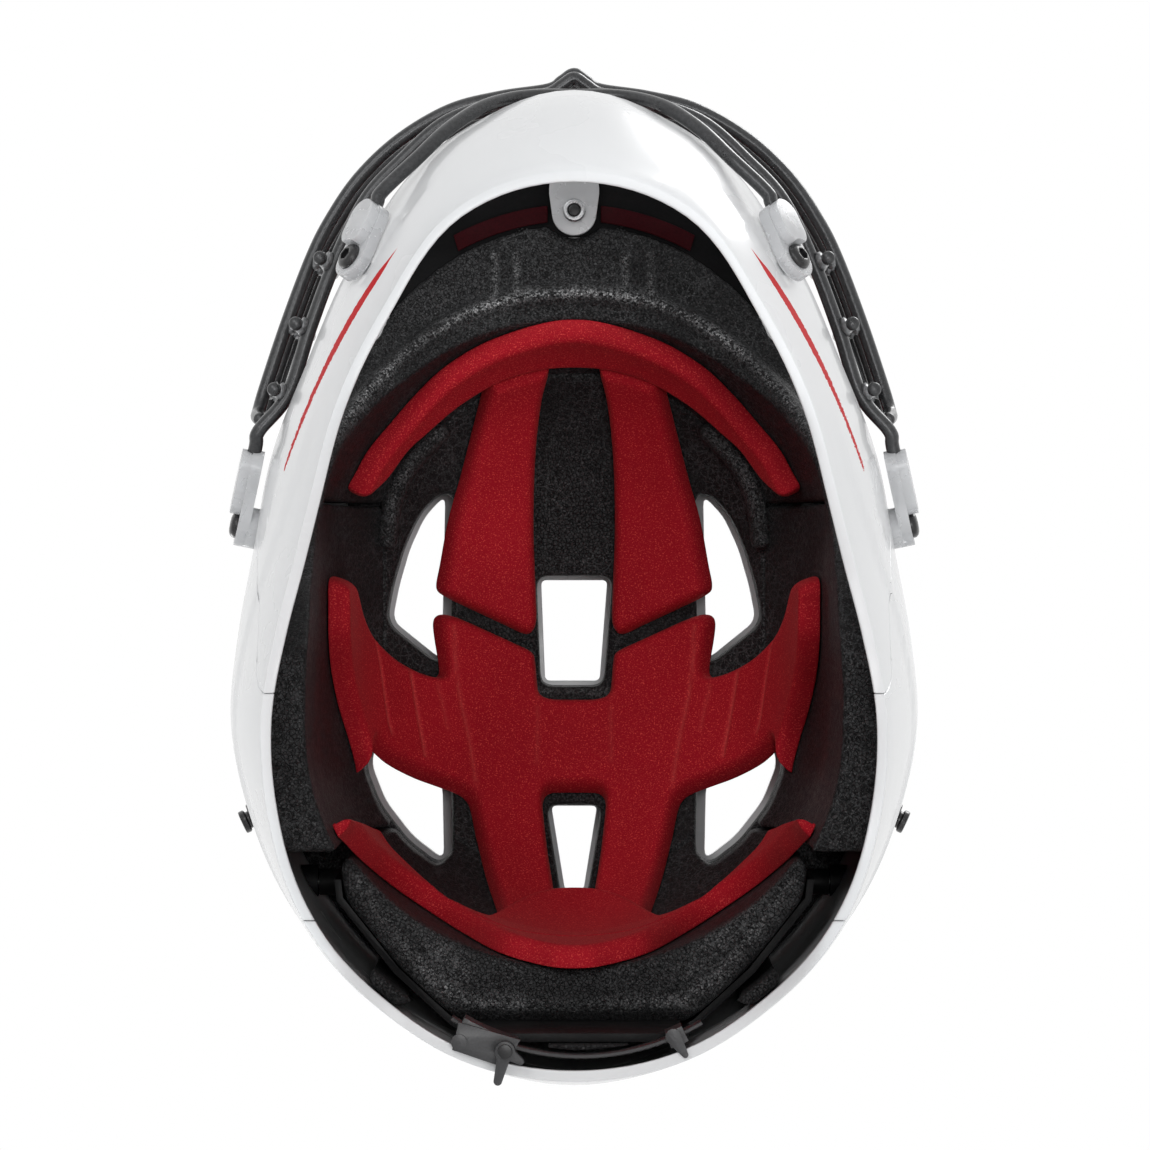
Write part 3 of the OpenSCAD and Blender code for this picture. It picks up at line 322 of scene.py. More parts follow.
def loft(name, rings, first=None, last=None, looped=False):
    """Rings joined into a solid: looped back to the first ring, or each end closed by a point or a face."""
    rings = [np.asarray(r, float) for r in rings]
    rows, n = len(rings), len(rings[0])
    points = [p for r in rings for p in r]
    faces = []
    for j in range(rows if looped else rows - 1):
        j2 = (j + 1) % rows
        faces += [(j * n + i, j * n + (i + 1) % n, j2 * n + (i + 1) % n, j2 * n + i) for i in range(n)]
    ends = () if looped else ((first, 0), (last, (rows - 1) * n))
    for tip, base in ends:
        if tip is None:
            faces.append(tuple(range(base, base + n)))
        else:
            points.append(np.asarray(tip, float))
            m = len(points) - 1
            faces += [(base + i, base + (i + 1) % n, m) for i in range(n)]
    return face_out(new_object(name, points, faces))


def prism(name, outline, low, high, along):
    """An outline carried from low to high along X (outline in Y and Z) or Z (outline in X and Y)."""
    def spot(p, h):
        return (h, p[0], p[1]) if along == "X" else (p[0], p[1], h)
    return loft(name, [[spot(p, low) for p in outline], [spot(p, high) for p in outline]])


def tube(name, line, radius, sides):
    """A round bar swept along a line, with rounded ends."""
    line = [np.asarray(p, float) for p in line]
    last = len(line) - 1
    tangents = [line[min(i + 1, last)] - line[max(i - 1, 0)] for i in range(last + 1)]
    tangents = [t / np.linalg.norm(t) for t in tangents]
    side = np.cross(tangents[0], (0.13, 0.21, 1.0))
    side /= np.linalg.norm(side)
    angles = np.linspace(0, 2 * math.pi, sides, endpoint=False)
    rings = []

    def ring(p, t, r):
        nonlocal side
        side = side - t * (side @ t)
        side /= np.linalg.norm(side)
        top = np.cross(t, side)
        rings.append([p + r * (side * math.cos(b) + top * math.sin(b)) for b in angles])

    ends = [math.radians(e) for e in (80, 55, 30)]
    for b in ends:
        ring(line[0] - tangents[0] * radius * 0.5 * math.sin(b), tangents[0], radius * math.cos(b))
    for p, t in zip(line, tangents):
        ring(p, t, radius)
    for b in reversed(ends):
        ring(line[-1] + tangents[-1] * radius * 0.5 * math.sin(b), tangents[-1], radius * math.cos(b))
    return loft(name, rings)


def lathe(name, profile, steps, hexed=()):
    """A profile of (r, z) turned about Z. Rows named in hexed are drawn six-sided."""
    rings = []
    for j, (r, z) in enumerate(profile):
        ring = []
        for k in range(steps):
            b = 2 * math.pi * k / steps
            c = math.cos((b + math.pi / 6) % (math.pi / 3) - math.pi / 6) if j in hexed else 1.0
            ring.append((r / c * math.cos(b), r / c * math.sin(b), z))
        rings.append(ring)
    return loft(name, rings, (0, 0, profile[0][1]), (0, 0, profile[-1][1]))


def seat_matrix(seat, out, side, lift=0.0):
    """Stands a piece on a seat of the left side, or mirrored on the right, with its Z on the way out."""
    z = Vector(out).normalized()
    x = z.orthogonal()
    x = (x - z * x.dot(z)).normalized()
    m = Matrix((x, z.cross(x), z)).transposed().to_4x4()
    m.translation = Vector(seat) * MM
    m.translation += Vector(out) * lift * MM
    return m if side > 0 else Matrix.Scale(-1, 4, (1, 0, 0)) @ m


def placed(obj, matrix):
    """The object's mesh moved, and turned right side out where the move mirrors it."""
    obj.data.transform(matrix)
    if matrix.determinant() < 0:
        obj.data.flip_normals()
    return obj


def lifted(obj, x, y, z):
    """The object's mesh moved by millimetres."""
    return placed(obj, Matrix.Translation(Vector((x, y, z)) * MM))


def removed(obj):
    mesh = obj.data
    bpy.data.objects.remove(obj)
    bpy.data.meshes.remove(mesh)


def marked(obj, name, values):
    """Stores a value on each vertex, which the materials read by its name."""
    layer = obj.data.attributes.new(name, "FLOAT", "POINT")
    layer.data.foreach_set("value", values)
    return obj


def settle(obj):
    """Applies the object's modifiers to its mesh."""
    bpy.context.view_layer.update()
    depsgraph = bpy.context.evaluated_depsgraph_get()
    mesh = bpy.data.meshes.new_from_object(obj.evaluated_get(depsgraph))
    old = obj.data
    obj.modifiers.clear()
    obj.data = mesh
    mesh.name = obj.name
    bpy.data.meshes.remove(old)
    if not mesh.polygons:
        raise RuntimeError(f"{obj.name} came out empty")
    return obj


def combine(obj, other, operation):
    """Joins, cuts or keeps the overlap with another object, which is used up."""
    m = obj.modifiers.new("Combine", "BOOLEAN")
    m.operation, m.solver, m.object = operation, "MANIFOLD", other
    settle(obj)
    removed(other)
    return obj


def merged(name, objects):
    """Several objects' meshes as one object."""
    bm = bmesh.new()
    for o in objects:
        bm.from_mesh(o.data)
    mesh = bpy.data.meshes.new(name)
    bm.to_mesh(mesh)
    bm.free()
    for o in objects:
        removed(o)
    obj = bpy.data.objects.new(name, mesh)
    bpy.context.scene.collection.objects.link(obj)
    return obj


def shade(obj, angle):
    """Smooth shading, with a sharp edge where faces meet at more than the angle."""
    obj.data.shade_smooth()
    obj.data.set_sharp_from_angle(angle=math.radians(angle))
    return obj


def softened(source, name, width, angle=30, segments=3):
    """A copy of a CAD node with its edges rounded."""
    obj = frame["nodes"][source].copy()
    obj.data = obj.data.copy()
    obj.name = name
    obj.data.name = name
    obj.parent = None
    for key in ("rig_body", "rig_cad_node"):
        if key in obj:
            del obj[key]
    obj.hide_render = obj.hide_viewport = False
    bpy.context.scene.collection.objects.link(obj)
    obj.matrix_world = Matrix.Identity(4)
    bm = bmesh.new()
    bm.from_mesh(obj.data)
    bmesh.ops.remove_doubles(bm, verts=bm.verts, dist=2e-6)
    bmesh.ops.dissolve_limit(bm, angle_limit=math.radians(2), verts=bm.verts, edges=bm.edges)
    edges = [e for e in bm.edges if len(e.link_faces) == 2 and e.calc_face_angle(0) > math.radians(angle)]
    bmesh.ops.bevel(bm, geom=edges, offset=width * MM, offset_type="OFFSET", segments=segments,
                    profile=0.5, affect="EDGES", clamp_overlap=True)
    bmesh.ops.recalc_face_normals(bm, faces=bm.faces)
    bm.to_mesh(obj.data)
    bm.free()
    return shade(obj, 40)


def finish_piece(obj, body, slot, finish, *nodes):
    """Gives a piece its finish and its body, and hides the CAD nodes that it stands for. The slot is not
    used.
    """
    obj.data.materials.clear()
    obj.data.materials.append(FINISHES[finish])
    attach(obj, body)
    if nodes:
        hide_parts(*nodes)
    return obj


# ---------------------------------------------------------------- shader groups and finishes

def group(name, inputs, outputs):
    """An empty shader group: inputs by name with their first values, outputs by name."""
    tree = bpy.data.node_groups.new(name, "ShaderNodeTree")
    for key, value in inputs.items():
        kind = "NodeSocketVector" if isinstance(value, tuple) else "NodeSocketFloat"
        tree.interface.new_socket(key, in_out="INPUT", socket_type=kind).default_value = value
    for key in outputs:
        tree.interface.new_socket(key, in_out="OUTPUT", socket_type="NodeSocketFloat")
    return tree, tree.nodes.new("NodeGroupInput").outputs, tree.nodes.new("NodeGroupOutput").inputs


def node(tree, kind, inputs=None, **settings_of):
    """A node with its settings, and each input linked to a socket or given a value."""
    n = tree.nodes.new(kind)
    for k, v in settings_of.items():
        setattr(n, k, v)
    for k, v in (inputs or {}).items():
        if isinstance(v, bpy.types.NodeSocket):
            tree.links.new(v, n.inputs[k])
        else:
            n.inputs[k].default_value = v
    return n


def grain_group():
    """Fine moulded grain: a height and a mask over Object coordinates."""
    tree, given, out = group("Moulded Grain", {"Vector": (0, 0, 0), "Scale": 1500.0, "Contrast": 1.0},
                             ("Height", "Mask"))
    noise = node(tree, "ShaderNodeTexNoise", {"Vector": given["Vector"], "Scale": given["Scale"],
                                              "Detail": 3.0, "Roughness": 0.6}).outputs["Fac"]
    spread = math_node(tree, "MULTIPLY", math_node(tree, "SUBTRACT", noise, 0.5), given["Contrast"])
    tree.links.new(noise, out["Height"])
    tree.links.new(math_node(tree, "ADD", spread, 0.5, clamp=True), out["Mask"])
    return tree


def mottle_group():
    """Slow variation over a piece, for handling marks and uneven gloss."""
    tree, given, out = group("Soft Mottle", {"Vector": (0, 0, 0), "Scale": 30.0, "Low": 0.4, "High": 0.6},
                             ("Mask",))
    noise = node(tree, "ShaderNodeTexNoise", {"Vector": given["Vector"], "Scale": given["Scale"],
                                              "Detail": 4.0, "Roughness": 0.55})
    ramp = node(tree, "ShaderNodeMapRange", {"Value": noise.outputs["Fac"], "From Min": given["Low"],
                                             "From Max": given["High"]}, interpolation_type="SMOOTHSTEP")
    tree.links.new(ramp.outputs["Result"], out["Mask"])
    return tree


def bead_group():
    """Expanded foam: beads pressed together, with dimples where they meet."""
    tree, given, out = group("Foam Beads", {"Vector": (0, 0, 0), "Scale": 420.0}, ("Height", "Seam", "Bead"))
    warp = node(tree, "ShaderNodeTexNoise", {"Vector": given["Vector"], "Scale": 300.0, "Detail": 2.0})
    shift = node(tree, "ShaderNodeVectorMath", {0: warp.outputs["Color"], 1: (0.0012, 0.0012, 0.0012)},
                 operation="MULTIPLY")
    moved = node(tree, "ShaderNodeVectorMath", {0: given["Vector"], 1: shift.outputs[0]}, operation="ADD")
    cells, tint = (node(tree, "ShaderNodeTexVoronoi", {"Vector": moved.outputs[0], "Scale": given["Scale"]},
                        feature=feature) for feature in ("DISTANCE_TO_EDGE", "F1"))
    seam = node(tree, "ShaderNodeMapRange", {"Value": cells.outputs["Distance"], "From Min": 0.0,
                                             "From Max": 0.12}, interpolation_type="SMOOTHSTEP")
    seam = seam.outputs["Result"]
    tone = node(tree, "ShaderNodeSeparateColor", {"Color": tint.outputs["Color"]}).outputs[0]
    tree.links.new(math_node(tree, "ADD", seam, math_node(tree, "MULTIPLY", tone, 0.35)), out["Height"])
    tree.links.new(seam, out["Seam"])
    tree.links.new(tone, out["Bead"])
    return tree


def start_material(name):
    """A material with one principled shader, and the Object coordinates that place its textures."""
    mat = bpy.data.materials.new(name)
    mat.use_nodes = True
    tree = mat.node_tree
    tree.nodes.clear()
    out = tree.nodes.new("ShaderNodeOutputMaterial")
    shader = tree.nodes.new("ShaderNodeBsdfPrincipled")
    tree.links.new(shader.outputs[0], out.inputs[0])
    coords = tree.nodes.new("ShaderNodeTexCoord")
    return mat, tree, shader, coords.outputs["Object"]


def use_group(tree, key, place, **values):
    """A shader group's outputs, with the group's own values for this material."""
    return node(tree, "ShaderNodeGroup", {"Vector": place, **values}, node_tree=GROUPS[key]).outputs


def set_values(shader, **values):
    """Sets a shader's inputs, named with lines for spaces."""
    for key, value in values.items():
        shader.inputs[key.replace("_", " ")].default_value = value


def mix_colour(tree, mask, a, b):
    """Colour a where the mask is 0 and b where it is 1."""
    a, b = (c if isinstance(c, bpy.types.NodeSocket) else (*c[:3], 1) for c in (a, b))
    return node(tree, "ShaderNodeMix", {0: mask, 6: a, 7: b}, data_type="RGBA").outputs[2]


def ranged(tree, mask, low, high):
    """Low to high as the mask runs from 0 to 1."""
    return node(tree, "ShaderNodeMapRange", {"Value": mask, "To Min": low, "To Max": high}).outputs["Result"]


def windowed(tree, value, low, high):
    """0 to 1 as the value runs from low to high."""
    ramp = node(tree, "ShaderNodeMapRange", {"Value": value, "From Min": low, "From Max": high})
    return ramp.outputs["Result"]


def bumped(tree, shader, height, strength, distance):
    """Gives a shader a relief."""
    b = node(tree, "ShaderNodeBump", {"Height": height, "Strength": strength, "Distance": distance})
    tree.links.new(b.outputs[0], shader.inputs["Normal"])


def math_node(tree, operation, a, b=0.0, clamp=False):
    """One step of arithmetic on sockets or numbers."""
    return node(tree, "ShaderNodeMath", {0: a, 1: b}, operation=operation, use_clamp=clamp).outputs[0]


def product(tree, first, *rest, clamp=False):
    """Several factors multiplied, with only the last result clamped."""
    for i, factor in enumerate(rest):
        first = math_node(tree, "MULTIPLY", first, factor, clamp=clamp and i == len(rest) - 1)
    return first


def painted_on(tree, name):
    """The value that marked() stored under a name."""
    return node(tree, "ShaderNodeAttribute", attribute_name=name, attribute_type="GEOMETRY").outputs["Fac"]


def scaled(rgb, k):
    """A colour made lighter or darker."""
    return tuple(min(c * k, 1) for c in rgb[:3])


def moulded_material(name, colour, roughness, grain=0.00012, scale=1400.0, gloss=0.0, contrast=0.25, **fixed):
    """A moulded or coated finish with fine grain, uneven gloss and slight wear."""
    mat, tree, shader, place = start_material(name)
    g = use_group(tree, "grain", place, Scale=scale, Contrast=2.0)
    m = use_group(tree, "mottle", place, Scale=45.0, Low=0.35, High=0.7)["Mask"]
    base = mix_colour(tree, g["Mask"], scaled(colour, 1 - contrast), scaled(colour, 1 + contrast))
    tree.links.new(base, shader.inputs["Base Color"])
    tree.links.new(ranged(tree, m, roughness * 0.85, roughness * 1.2), shader.inputs["Roughness"])
    bumped(tree, shader, g["Height"], 0.5, grain)
    set_values(shader, Coat_Weight=gloss, Coat_Roughness=0.12, **fixed)
    return mat


def stripe_mask(tree, place):
    """Each side's painted stripe: a bowed line seen from below, with a brushed edge and tapered ends."""
    x, y, z = node(tree, "ShaderNodeSeparateXYZ", {0: place}).outputs
    start, end = np.array([0.0574, -0.1075]), np.array([0.0966, -0.0345])
    run = end - start
    size = float(np.linalg.norm(run))
    run /= size
    dx = math_node(tree, "SUBTRACT", math_node(tree, "ABSOLUTE", x), float(start[0]))
    dy = math_node(tree, "SUBTRACT", y, float(start[1]))
    along = math_node(tree, "ADD", product(tree, dx, float(run[0])), product(tree, dy, float(run[1])))
    t = math_node(tree, "DIVIDE", along, size)
    off = math_node(tree, "SUBTRACT", product(tree, dx, float(run[1])), product(tree, dy, float(run[0])))
    bow = product(tree, t, math_node(tree, "SUBTRACT", 1.0, t), 0.013)
    aside = math_node(tree, "ABSOLUTE", math_node(tree, "SUBTRACT", off, bow))
    curve = node(tree, "ShaderNodeFloatCurve", {"Value": t})
    points = curve.mapping.curves[0].points
    points[0].location, points[1].location = (0.0, 0.0), (1.0, 0.0)
    for spot in ((0.06, 0.32), (0.2, 0.95), (0.38, 1.0), (0.6, 0.8), (0.8, 0.6), (0.94, 0.45)):
        points.new(*spot)
    curve.mapping.update()
    brush = use_group(tree, "grain", place, Scale=900.0, Contrast=3.0)["Mask"]
    rag = product(tree, ranged(tree, brush, -0.00035, 0.00035), t)
    width = math_node(tree, "ADD", product(tree, curve.outputs[0], 0.00105), rag)
    inside = product(tree, math_node(tree, "SUBTRACT", width, aside), 14000.0, clamp=True)
    within_run = product(tree, math_node(tree, "GREATER_THAN", t, 0.0), math_node(tree, "LESS_THAN", t, 1.0))
    level = product(tree, math_node(tree, "GREATER_THAN", z, 0.004), math_node(tree, "LESS_THAN", z, 0.1))
    return product(tree, inside, within_run, level, painted_on(tree, "outside"), clamp=True)


def shell_material():
    """White gloss with a tapered painted stripe on each side."""
    s = settings()
    mat, tree, shader, place = start_material("shell_white")
    stripe = stripe_mask(tree, place)
    m = use_group(tree, "mottle", place, Scale=14.0, Low=0.3, High=0.75)["Mask"]
    white = mix_colour(tree, m, scaled(s.shell_colour, 0.975), s.shell_colour)
    tree.links.new(mix_colour(tree, stripe, white, s.stripe_colour), shader.inputs["Base Color"])
    sheer = math_node(tree, "ADD", ranged(tree, m, 0.24, 0.32), product(tree, stripe, 0.4))
    tree.links.new(sheer, shader.inputs["Roughness"])
    g = use_group(tree, "grain", place, Scale=220.0, Contrast=1.0)
    bumped(tree, shader, g["Height"], 0.12, 0.0001)
    tree.links.new(ranged(tree, stripe, 0.35, 0.0), shader.inputs["Coat Weight"])
    set_values(shader, Specular_IOR_Level=0.3, Coat_Roughness=0.06)
    return mat


def foam_material():
    """Black bead foam in a cracked skin whose cell web is painted lighter as a glint, with painted highlights
    along the crests.
    """
    s = settings()
    mat, tree, shader, place = start_material("foam_black")
    beads, grit, cells = (use_group(tree, "beads", place, Scale=k) for k in (760.0, 1500.0, 300.0))
    fine = use_group(tree, "grain", place, Scale=1500.0, Contrast=2.5)
    m = use_group(tree, "mottle", place, Scale=38.0, Low=0.35, High=0.7)["Mask"]
    base = mix_colour(tree, beads["Bead"], s.foam_colour, scaled(s.foam_colour, 1.7))
    base = mix_colour(tree, beads["Seam"], scaled(s.foam_colour, 0.7), base)
    # The skin's cell web, painted lighter as a glint along the cell edges
    glinting_web = math_node(tree, "SUBTRACT", 1.0, cells["Seam"], clamp=True)
    glinting_web = product(tree, glinting_web, ranged(tree, m, 0.2, 0.75), clamp=True)
    base = mix_colour(tree, glinting_web, base, (0.085, 0.086, 0.089))
    # Painted highlight: near-white glints on the beads along the marked crests
    glint = product(tree, windowed(tree, grit["Bead"], 0.3, 0.95), grit["Seam"], ranged(tree, m, 0.35, 1.0),
                    painted_on(tree, "crest"), clamp=True)
    base = mix_colour(tree, glint, base, (0.8, 0.81, 0.82))
    stray = product(tree, windowed(tree, fine["Mask"], 0.6, 0.95), ranged(tree, m, 0.3, 0.8), clamp=True)
    tree.links.new(mix_colour(tree, stray, base, (0.17, 0.172, 0.176)), shader.inputs["Base Color"])
    rough = math_node(tree, "ADD", ranged(tree, beads["Bead"], 0.42, 0.62), ranged(tree, m, 0.0, 0.14))
    tree.links.new(rough, shader.inputs["Roughness"])
    height = math_node(tree, "ADD", beads["Height"], product(tree, fine["Height"], 0.45))
    bumped(tree, shader, height, 0.9, 0.0004)
    set_values(shader, Specular_IOR_Level=0.22)
    return mat


def pad_material():
    """Fine brushed cloth over soft foam, speckled, with light catching on its nap."""
    s = settings()
    mat, tree, shader, place = start_material("pad_red")
    nap = use_group(tree, "grain", place, Scale=1900.0, Contrast=3.2)
    weave = use_group(tree, "grain", place, Scale=800.0, Contrast=2.5)
    m = use_group(tree, "mottle", place, Scale=26.0, Low=0.3, High=0.75)["Mask"]
    base = mix_colour(tree, m, scaled(s.pad_colour, 0.88), s.pad_colour)
    worn = product(tree, painted_on(tree, "pressed"), ranged(tree, weave["Mask"], 0.25, 0.8), clamp=True)
    base = mix_colour(tree, worn, base, (0.78, 0.13, 0.11))
    speck = (min(s.pad_colour[0] * 1.55, 1), 0.075, 0.07)
    base = mix_colour(tree, windowed(tree, nap["Mask"], 0.66, 0.95), base, speck)
    tree.links.new(base, shader.inputs["Base Color"])
    tree.links.new(ranged(tree, weave["Mask"], 0.75, 0.95), shader.inputs["Roughness"])
    height = math_node(tree, "ADD", nap["Height"], product(tree, weave["Height"], 0.8))
    bumped(tree, shader, height, 0.55, 0.00022)
    set_values(shader, Sheen_Weight=0.1, Sheen_Roughness=0.4, Sheen_Tint=(1.0, 0.35, 0.3, 1),
               Specular_IOR_Level=0.12)
    return mat


def clip_material():
    """Milky plastic that lets some light through."""
    mat, tree, shader, place = start_material("clip_milky")
    m = use_group(tree, "mottle", place, Scale=90.0, Low=0.25, High=0.85)["Mask"]
    base = mix_colour(tree, m, (0.62, 0.63, 0.645), (0.74, 0.75, 0.765))
    tree.links.new(base, shader.inputs["Base Color"])
    tree.links.new(ranged(tree, m, 0.22, 0.36), shader.inputs["Roughness"])
    g = use_group(tree, "grain", place, Scale=500.0, Contrast=1.0)
    bumped(tree, shader, g["Height"], 0.25, 0.00012)
    set_values(shader, Subsurface_Weight=0.35, Subsurface_Radius=(1.0, 1.0, 1.0), Subsurface_Scale=0.004,
               Transmission_Weight=0.25, IOR=1.45, Coat_Weight=0.2)
    return mat


GROUPS = {}
FINISHES = {}


def make_finishes():
    if FINISHES:
        return
    GROUPS.update(grain=grain_group(), mottle=mottle_group(), beads=bead_group())
    FINISHES.update(shell=shell_material(), foam=foam_material(), pad=pad_material(), clip=clip_material())
    wire = settings().wire_colour
    for key, name, rgb, *rest in (
            ("wire", "cage_wire", wire, 0.3, 0.00016, 900.0, 0.35, 0.35, {"Metallic": 0.55}),
            ("weld", "cage_weld", (0.2, 0.204, 0.21), 0.32, 0.0005, 520.0, 0.3, 0.55, {"Metallic": 0.3}),
            ("visor", "visor_dark", (0.004, 0.004, 0.0045), 0.6, 0.0002, 1100.0,
             {"Specular_IOR_Level": 0.12}),
            # Painted shade: the red strip under the visor gets a near-black red for the shade it sits in
            ("trim", "trim_red", (0.032, 0.001, 0.003), 0.6, {"Specular_IOR_Level": 0.1}),
            ("black", "hardware_black", (0.012, 0.012, 0.013), 0.28, 0.00006, 1500.0, 0.3, {}),
            ("steel", "hardware_steel", (0.56, 0.57, 0.58), 0.3, 0.00005, 1800.0, 0.0, 0.12,
             {"Metallic": 1.0}),
            ("carrier", "carrier_black", (0.008, 0.008, 0.0085), 0.5, 0.00018, 1200.0,
             {"Specular_IOR_Level": 0.2}),
            ("grey", "adjuster_grey", (0.042, 0.0425, 0.045), 0.36, 0.00012, 1200.0, 0.1, {}),
            ("strap", "strap_black", (0.03, 0.03, 0.032), 0.34, 0.00008, 1500.0, 0.2, {})):
        FINISHES[key] = moulded_material(name, rgb, *rest[:-1], **rest[-1])


# ---------------------------------------------------------------- shells

COLUMNS = 192
SKIRT_ROWS = np.concatenate([[0.018, 0.035], np.linspace(0.06, 1.0, 26)])


def circuit(n=COLUMNS):
    """Angles once round the helmet."""
    return np.linspace(0, 360, n, endpoint=False)


def body_line(a, v):
    """A moulded line along the side: the skin above it stands proud of the skin below."""
    f = fold(a)
    line = 0.12 + 0.42 * smooth((f - 52) / 60)
    fade = smooth((f - 38) / 18) * smooth((150 - f) / 25)
    return settings().body_line * 1000 * fade * smooth((v - line) / 0.05) * smooth((1.0 - v) / 0.2)


def wall_rings(outer, inner, k):
    """Rings down an outer face, round the rim with a rounding of k and up the inner face."""
    a = circuit()
    r0, z0 = at(RIM_R, a), rim_z(a)
    r1 = r0 - WALL
    rim = [
        around(a, r0 + 0.4 * k, z0 + 0.3 * k), around(a, r0 - 0.6 * k, z0), around(a, r1 + k, z0),
        around(a, r1 + 0.3 * k, z0 + 0.3 * k), around(a, r1, z0 + k),
    ]
    return [*outer, *rim, *inner]


def crown_solid(name):
    """The hard shell from its rim to its top, before it is cut."""
    a = circuit()
    up = np.linspace(1.0, 1.975, 40)
    low = SKIRT_ROWS[:-1]
    outer = [dome(CROWN_R, CROWN_N, SHELL_H, a, v, 0) for v in up[::-1]]
    outer += [skirt(CROWN_R, BELT_Z, a, v, 0, body_line(a, v)) for v in low[::-1]]
    inner = [skirt(CROWN_R, BELT_Z, a, v, WALL, body_line(a, v)) for v in low[1:]]
    inner += [dome(CROWN_R, CROWN_N, SHELL_H, a, v, WALL) for v in up]
    rings = wall_rings(outer, inner, settings().rim_round * 1000)
    return loft(name, rings, (0, MIDDLE_Y, SHELL_H), (0, MIDDLE_Y, SHELL_H - WALL))


def guard_solid(name):
    """The chin guard's wall all round, before it is cut."""
    a = circuit()
    belt = guard_belt(a)
    lift = np.array([0, 0, BELT_Z])
    outer = [skirt(GUARD_R, belt, a, 1, 0) + lift]
    outer += [skirt(GUARD_R, belt, a, v, 0, chin_form(a, v) + body_line(a, v)) for v in SKIRT_ROWS[::-1]]
    inner = [skirt(GUARD_R, belt, a, v, WALL, chin_form(a, v) + body_line(a, v)) for v in SKIRT_ROWS[1:]]
    inner.append(skirt(GUARD_R, belt, a, 1, WALL) + lift)
    return loft(name, wall_rings(outer, inner, settings().rim_round * 1000), looped=True)


def chin_form(a, v):
    """The chin's flat middle with a moulded line on each side."""
    f = fold(a)
    flat = -1.1 * smooth((14 - f) / 5) * smooth(v / 0.12) * smooth((1.05 - v) / 0.3)
    side = (-0.7 * smooth((f - 17) / 2.5) * smooth((34 - f) / 6)
            * smooth((v - 0.28) / 0.08) * smooth((0.9 - v) / 0.2))
    return flat + side


def cut_across(obj, outline, operation="DIFFERENCE", margin=0.0):
    """Cuts away or keeps what lies inside an outline seen from the side, with its corners eased."""
    shape = eased(outline, 10.0)
    if margin:
        shape = grown(shape, margin)
    return combine(obj, prism("cutter", shape, -FAR, FAR, "X"), operation)


def cut_vents(obj, margin):
    """Cuts the six vents from the belt up, wider by a margin."""
    def cut(shape):
        combine(obj, prism("cutter", shape, BELT_Z, BELT_Z + FAR, "Z"), "DIFFERENCE")

    for outline in (FRONT_VENT, REAR_VENT):
        cut(grown(eased(outline, 2.0), margin))
    for side in SIDES:
        for outline in (FRONT_SIDE_VENT, REAR_SIDE_VENT):
            for inward in (0.0, 1.4 * margin) if margin else (0.0,):
                back = inward if outline is REAR_SIDE_VENT else 0.0
                cut([(side * (x - inward), y - back) for x, y in grown(eased(outline, 4.0), margin)])
    return obj


def cut_bores(obj, spots):
    """Drills holes on both sides. Spots are (seat, way out, radius)."""
    for seat, out, radius in spots:
        for side in SIDES:
            pin = lathe("cutter", ((radius, -12), (radius, 12)), 40)
            combine(obj, placed(pin, seat_matrix(seat, out, side)), "DIFFERENCE")
    return obj


class HELMET_OT_shells(bpy.types.Operator):
    """Makes the crown shell, the nape panel and the chin guard"""
    bl_idname = "helmet.make_shells"
    bl_label = "Make shells"

    def execute(self, context):
        make_finishes()
        crown = crown_solid("crown_shell_skin")
        cut_across(crown, GUARD_SIDE, margin=SEAM_GAP * 0.5)
        cut_across(crown, FACE_SIDE)
        cut_across(crown, NAPE_SIDE)
        cut_vents(crown, 0.0)
        cut_bores(crown, ((SIDE_SCREW, SIDE_OUT, 3.4), (STUD_AT, STUD_OUT, 2.4)))
        nape = crown_solid("rear_shell_skin")
        cut_across(nape, NAPE_SIDE, "INTERSECT", margin=-SEAM_GAP * 0.5)
        chin = guard_solid("chin_guard_skin")
        cut_across(chin, GUARD_SIDE, "INTERSECT")
        cut_bores(chin, ((CHIN_SCREW, CHIN_OUT, 3.4),))
        for obj, spare in ((crown, "crown_shell"), (nape, "rear_shell"), (chin, "chin_guard")):
            m = obj.modifiers.new("Edges", "BEVEL")
            m.width, m.segments, m.limit_method, m.angle_limit = 0.0003, 2, "ANGLE", math.radians(55)
            m.use_clamp_overlap = False
            w = obj.modifiers.new("Normals", "WEIGHTED_NORMAL")
            w.keep_sharp, w.weight = True, 60
            shade(obj, 32)
            settle(obj)
            self.mark_outside(obj)
            finish_piece(obj, "helmet", "shell_white", "shell", spare)
        return {"FINISHED"}

    def mark_outside(self, obj):
        """Marks the outer skin, which alone carries the paint."""
        middle = Vector((0, MIDDLE_Y * MM, 0))
        values = []
        for v in obj.data.vertices:
            away = v.co - middle
            away.z = 0
            values.append(min(max(v.normal.dot(away.normalized()) * 5 - 0.5, 0.0), 1.0))
        marked(obj, "outside", values)


# ---------------------------------------------------------------- visor and trim

def brow_r(a):
    """How far out the visor's root stands, a little inside the crown shell's skin."""
    reach = np.degrees(np.arcsin(((BROW_Z - BELT_Z) / (SHELL_H - BELT_Z)) ** (CROWN_N / 2)))
    return at(CROWN_R, a) * math.cos(math.radians(float(reach))) ** (2 / CROWN_N) - BROW_INSET


def visor_r(a):
    """The visor's front edge, short at both ends."""
    return brow_r(a) + VISOR_REACH * (0.16 + 0.84 * np.cos(np.radians(90 * a / VISOR_HALF)) ** 0.7)


def visor_top(a, r):
    """The height of the visor's upper face, which droops towards the front edge."""
    return BROW_Z - 0.4 - VISOR_DROOP * (r - brow_r(a)) / (visor_r(a) - brow_r(a))


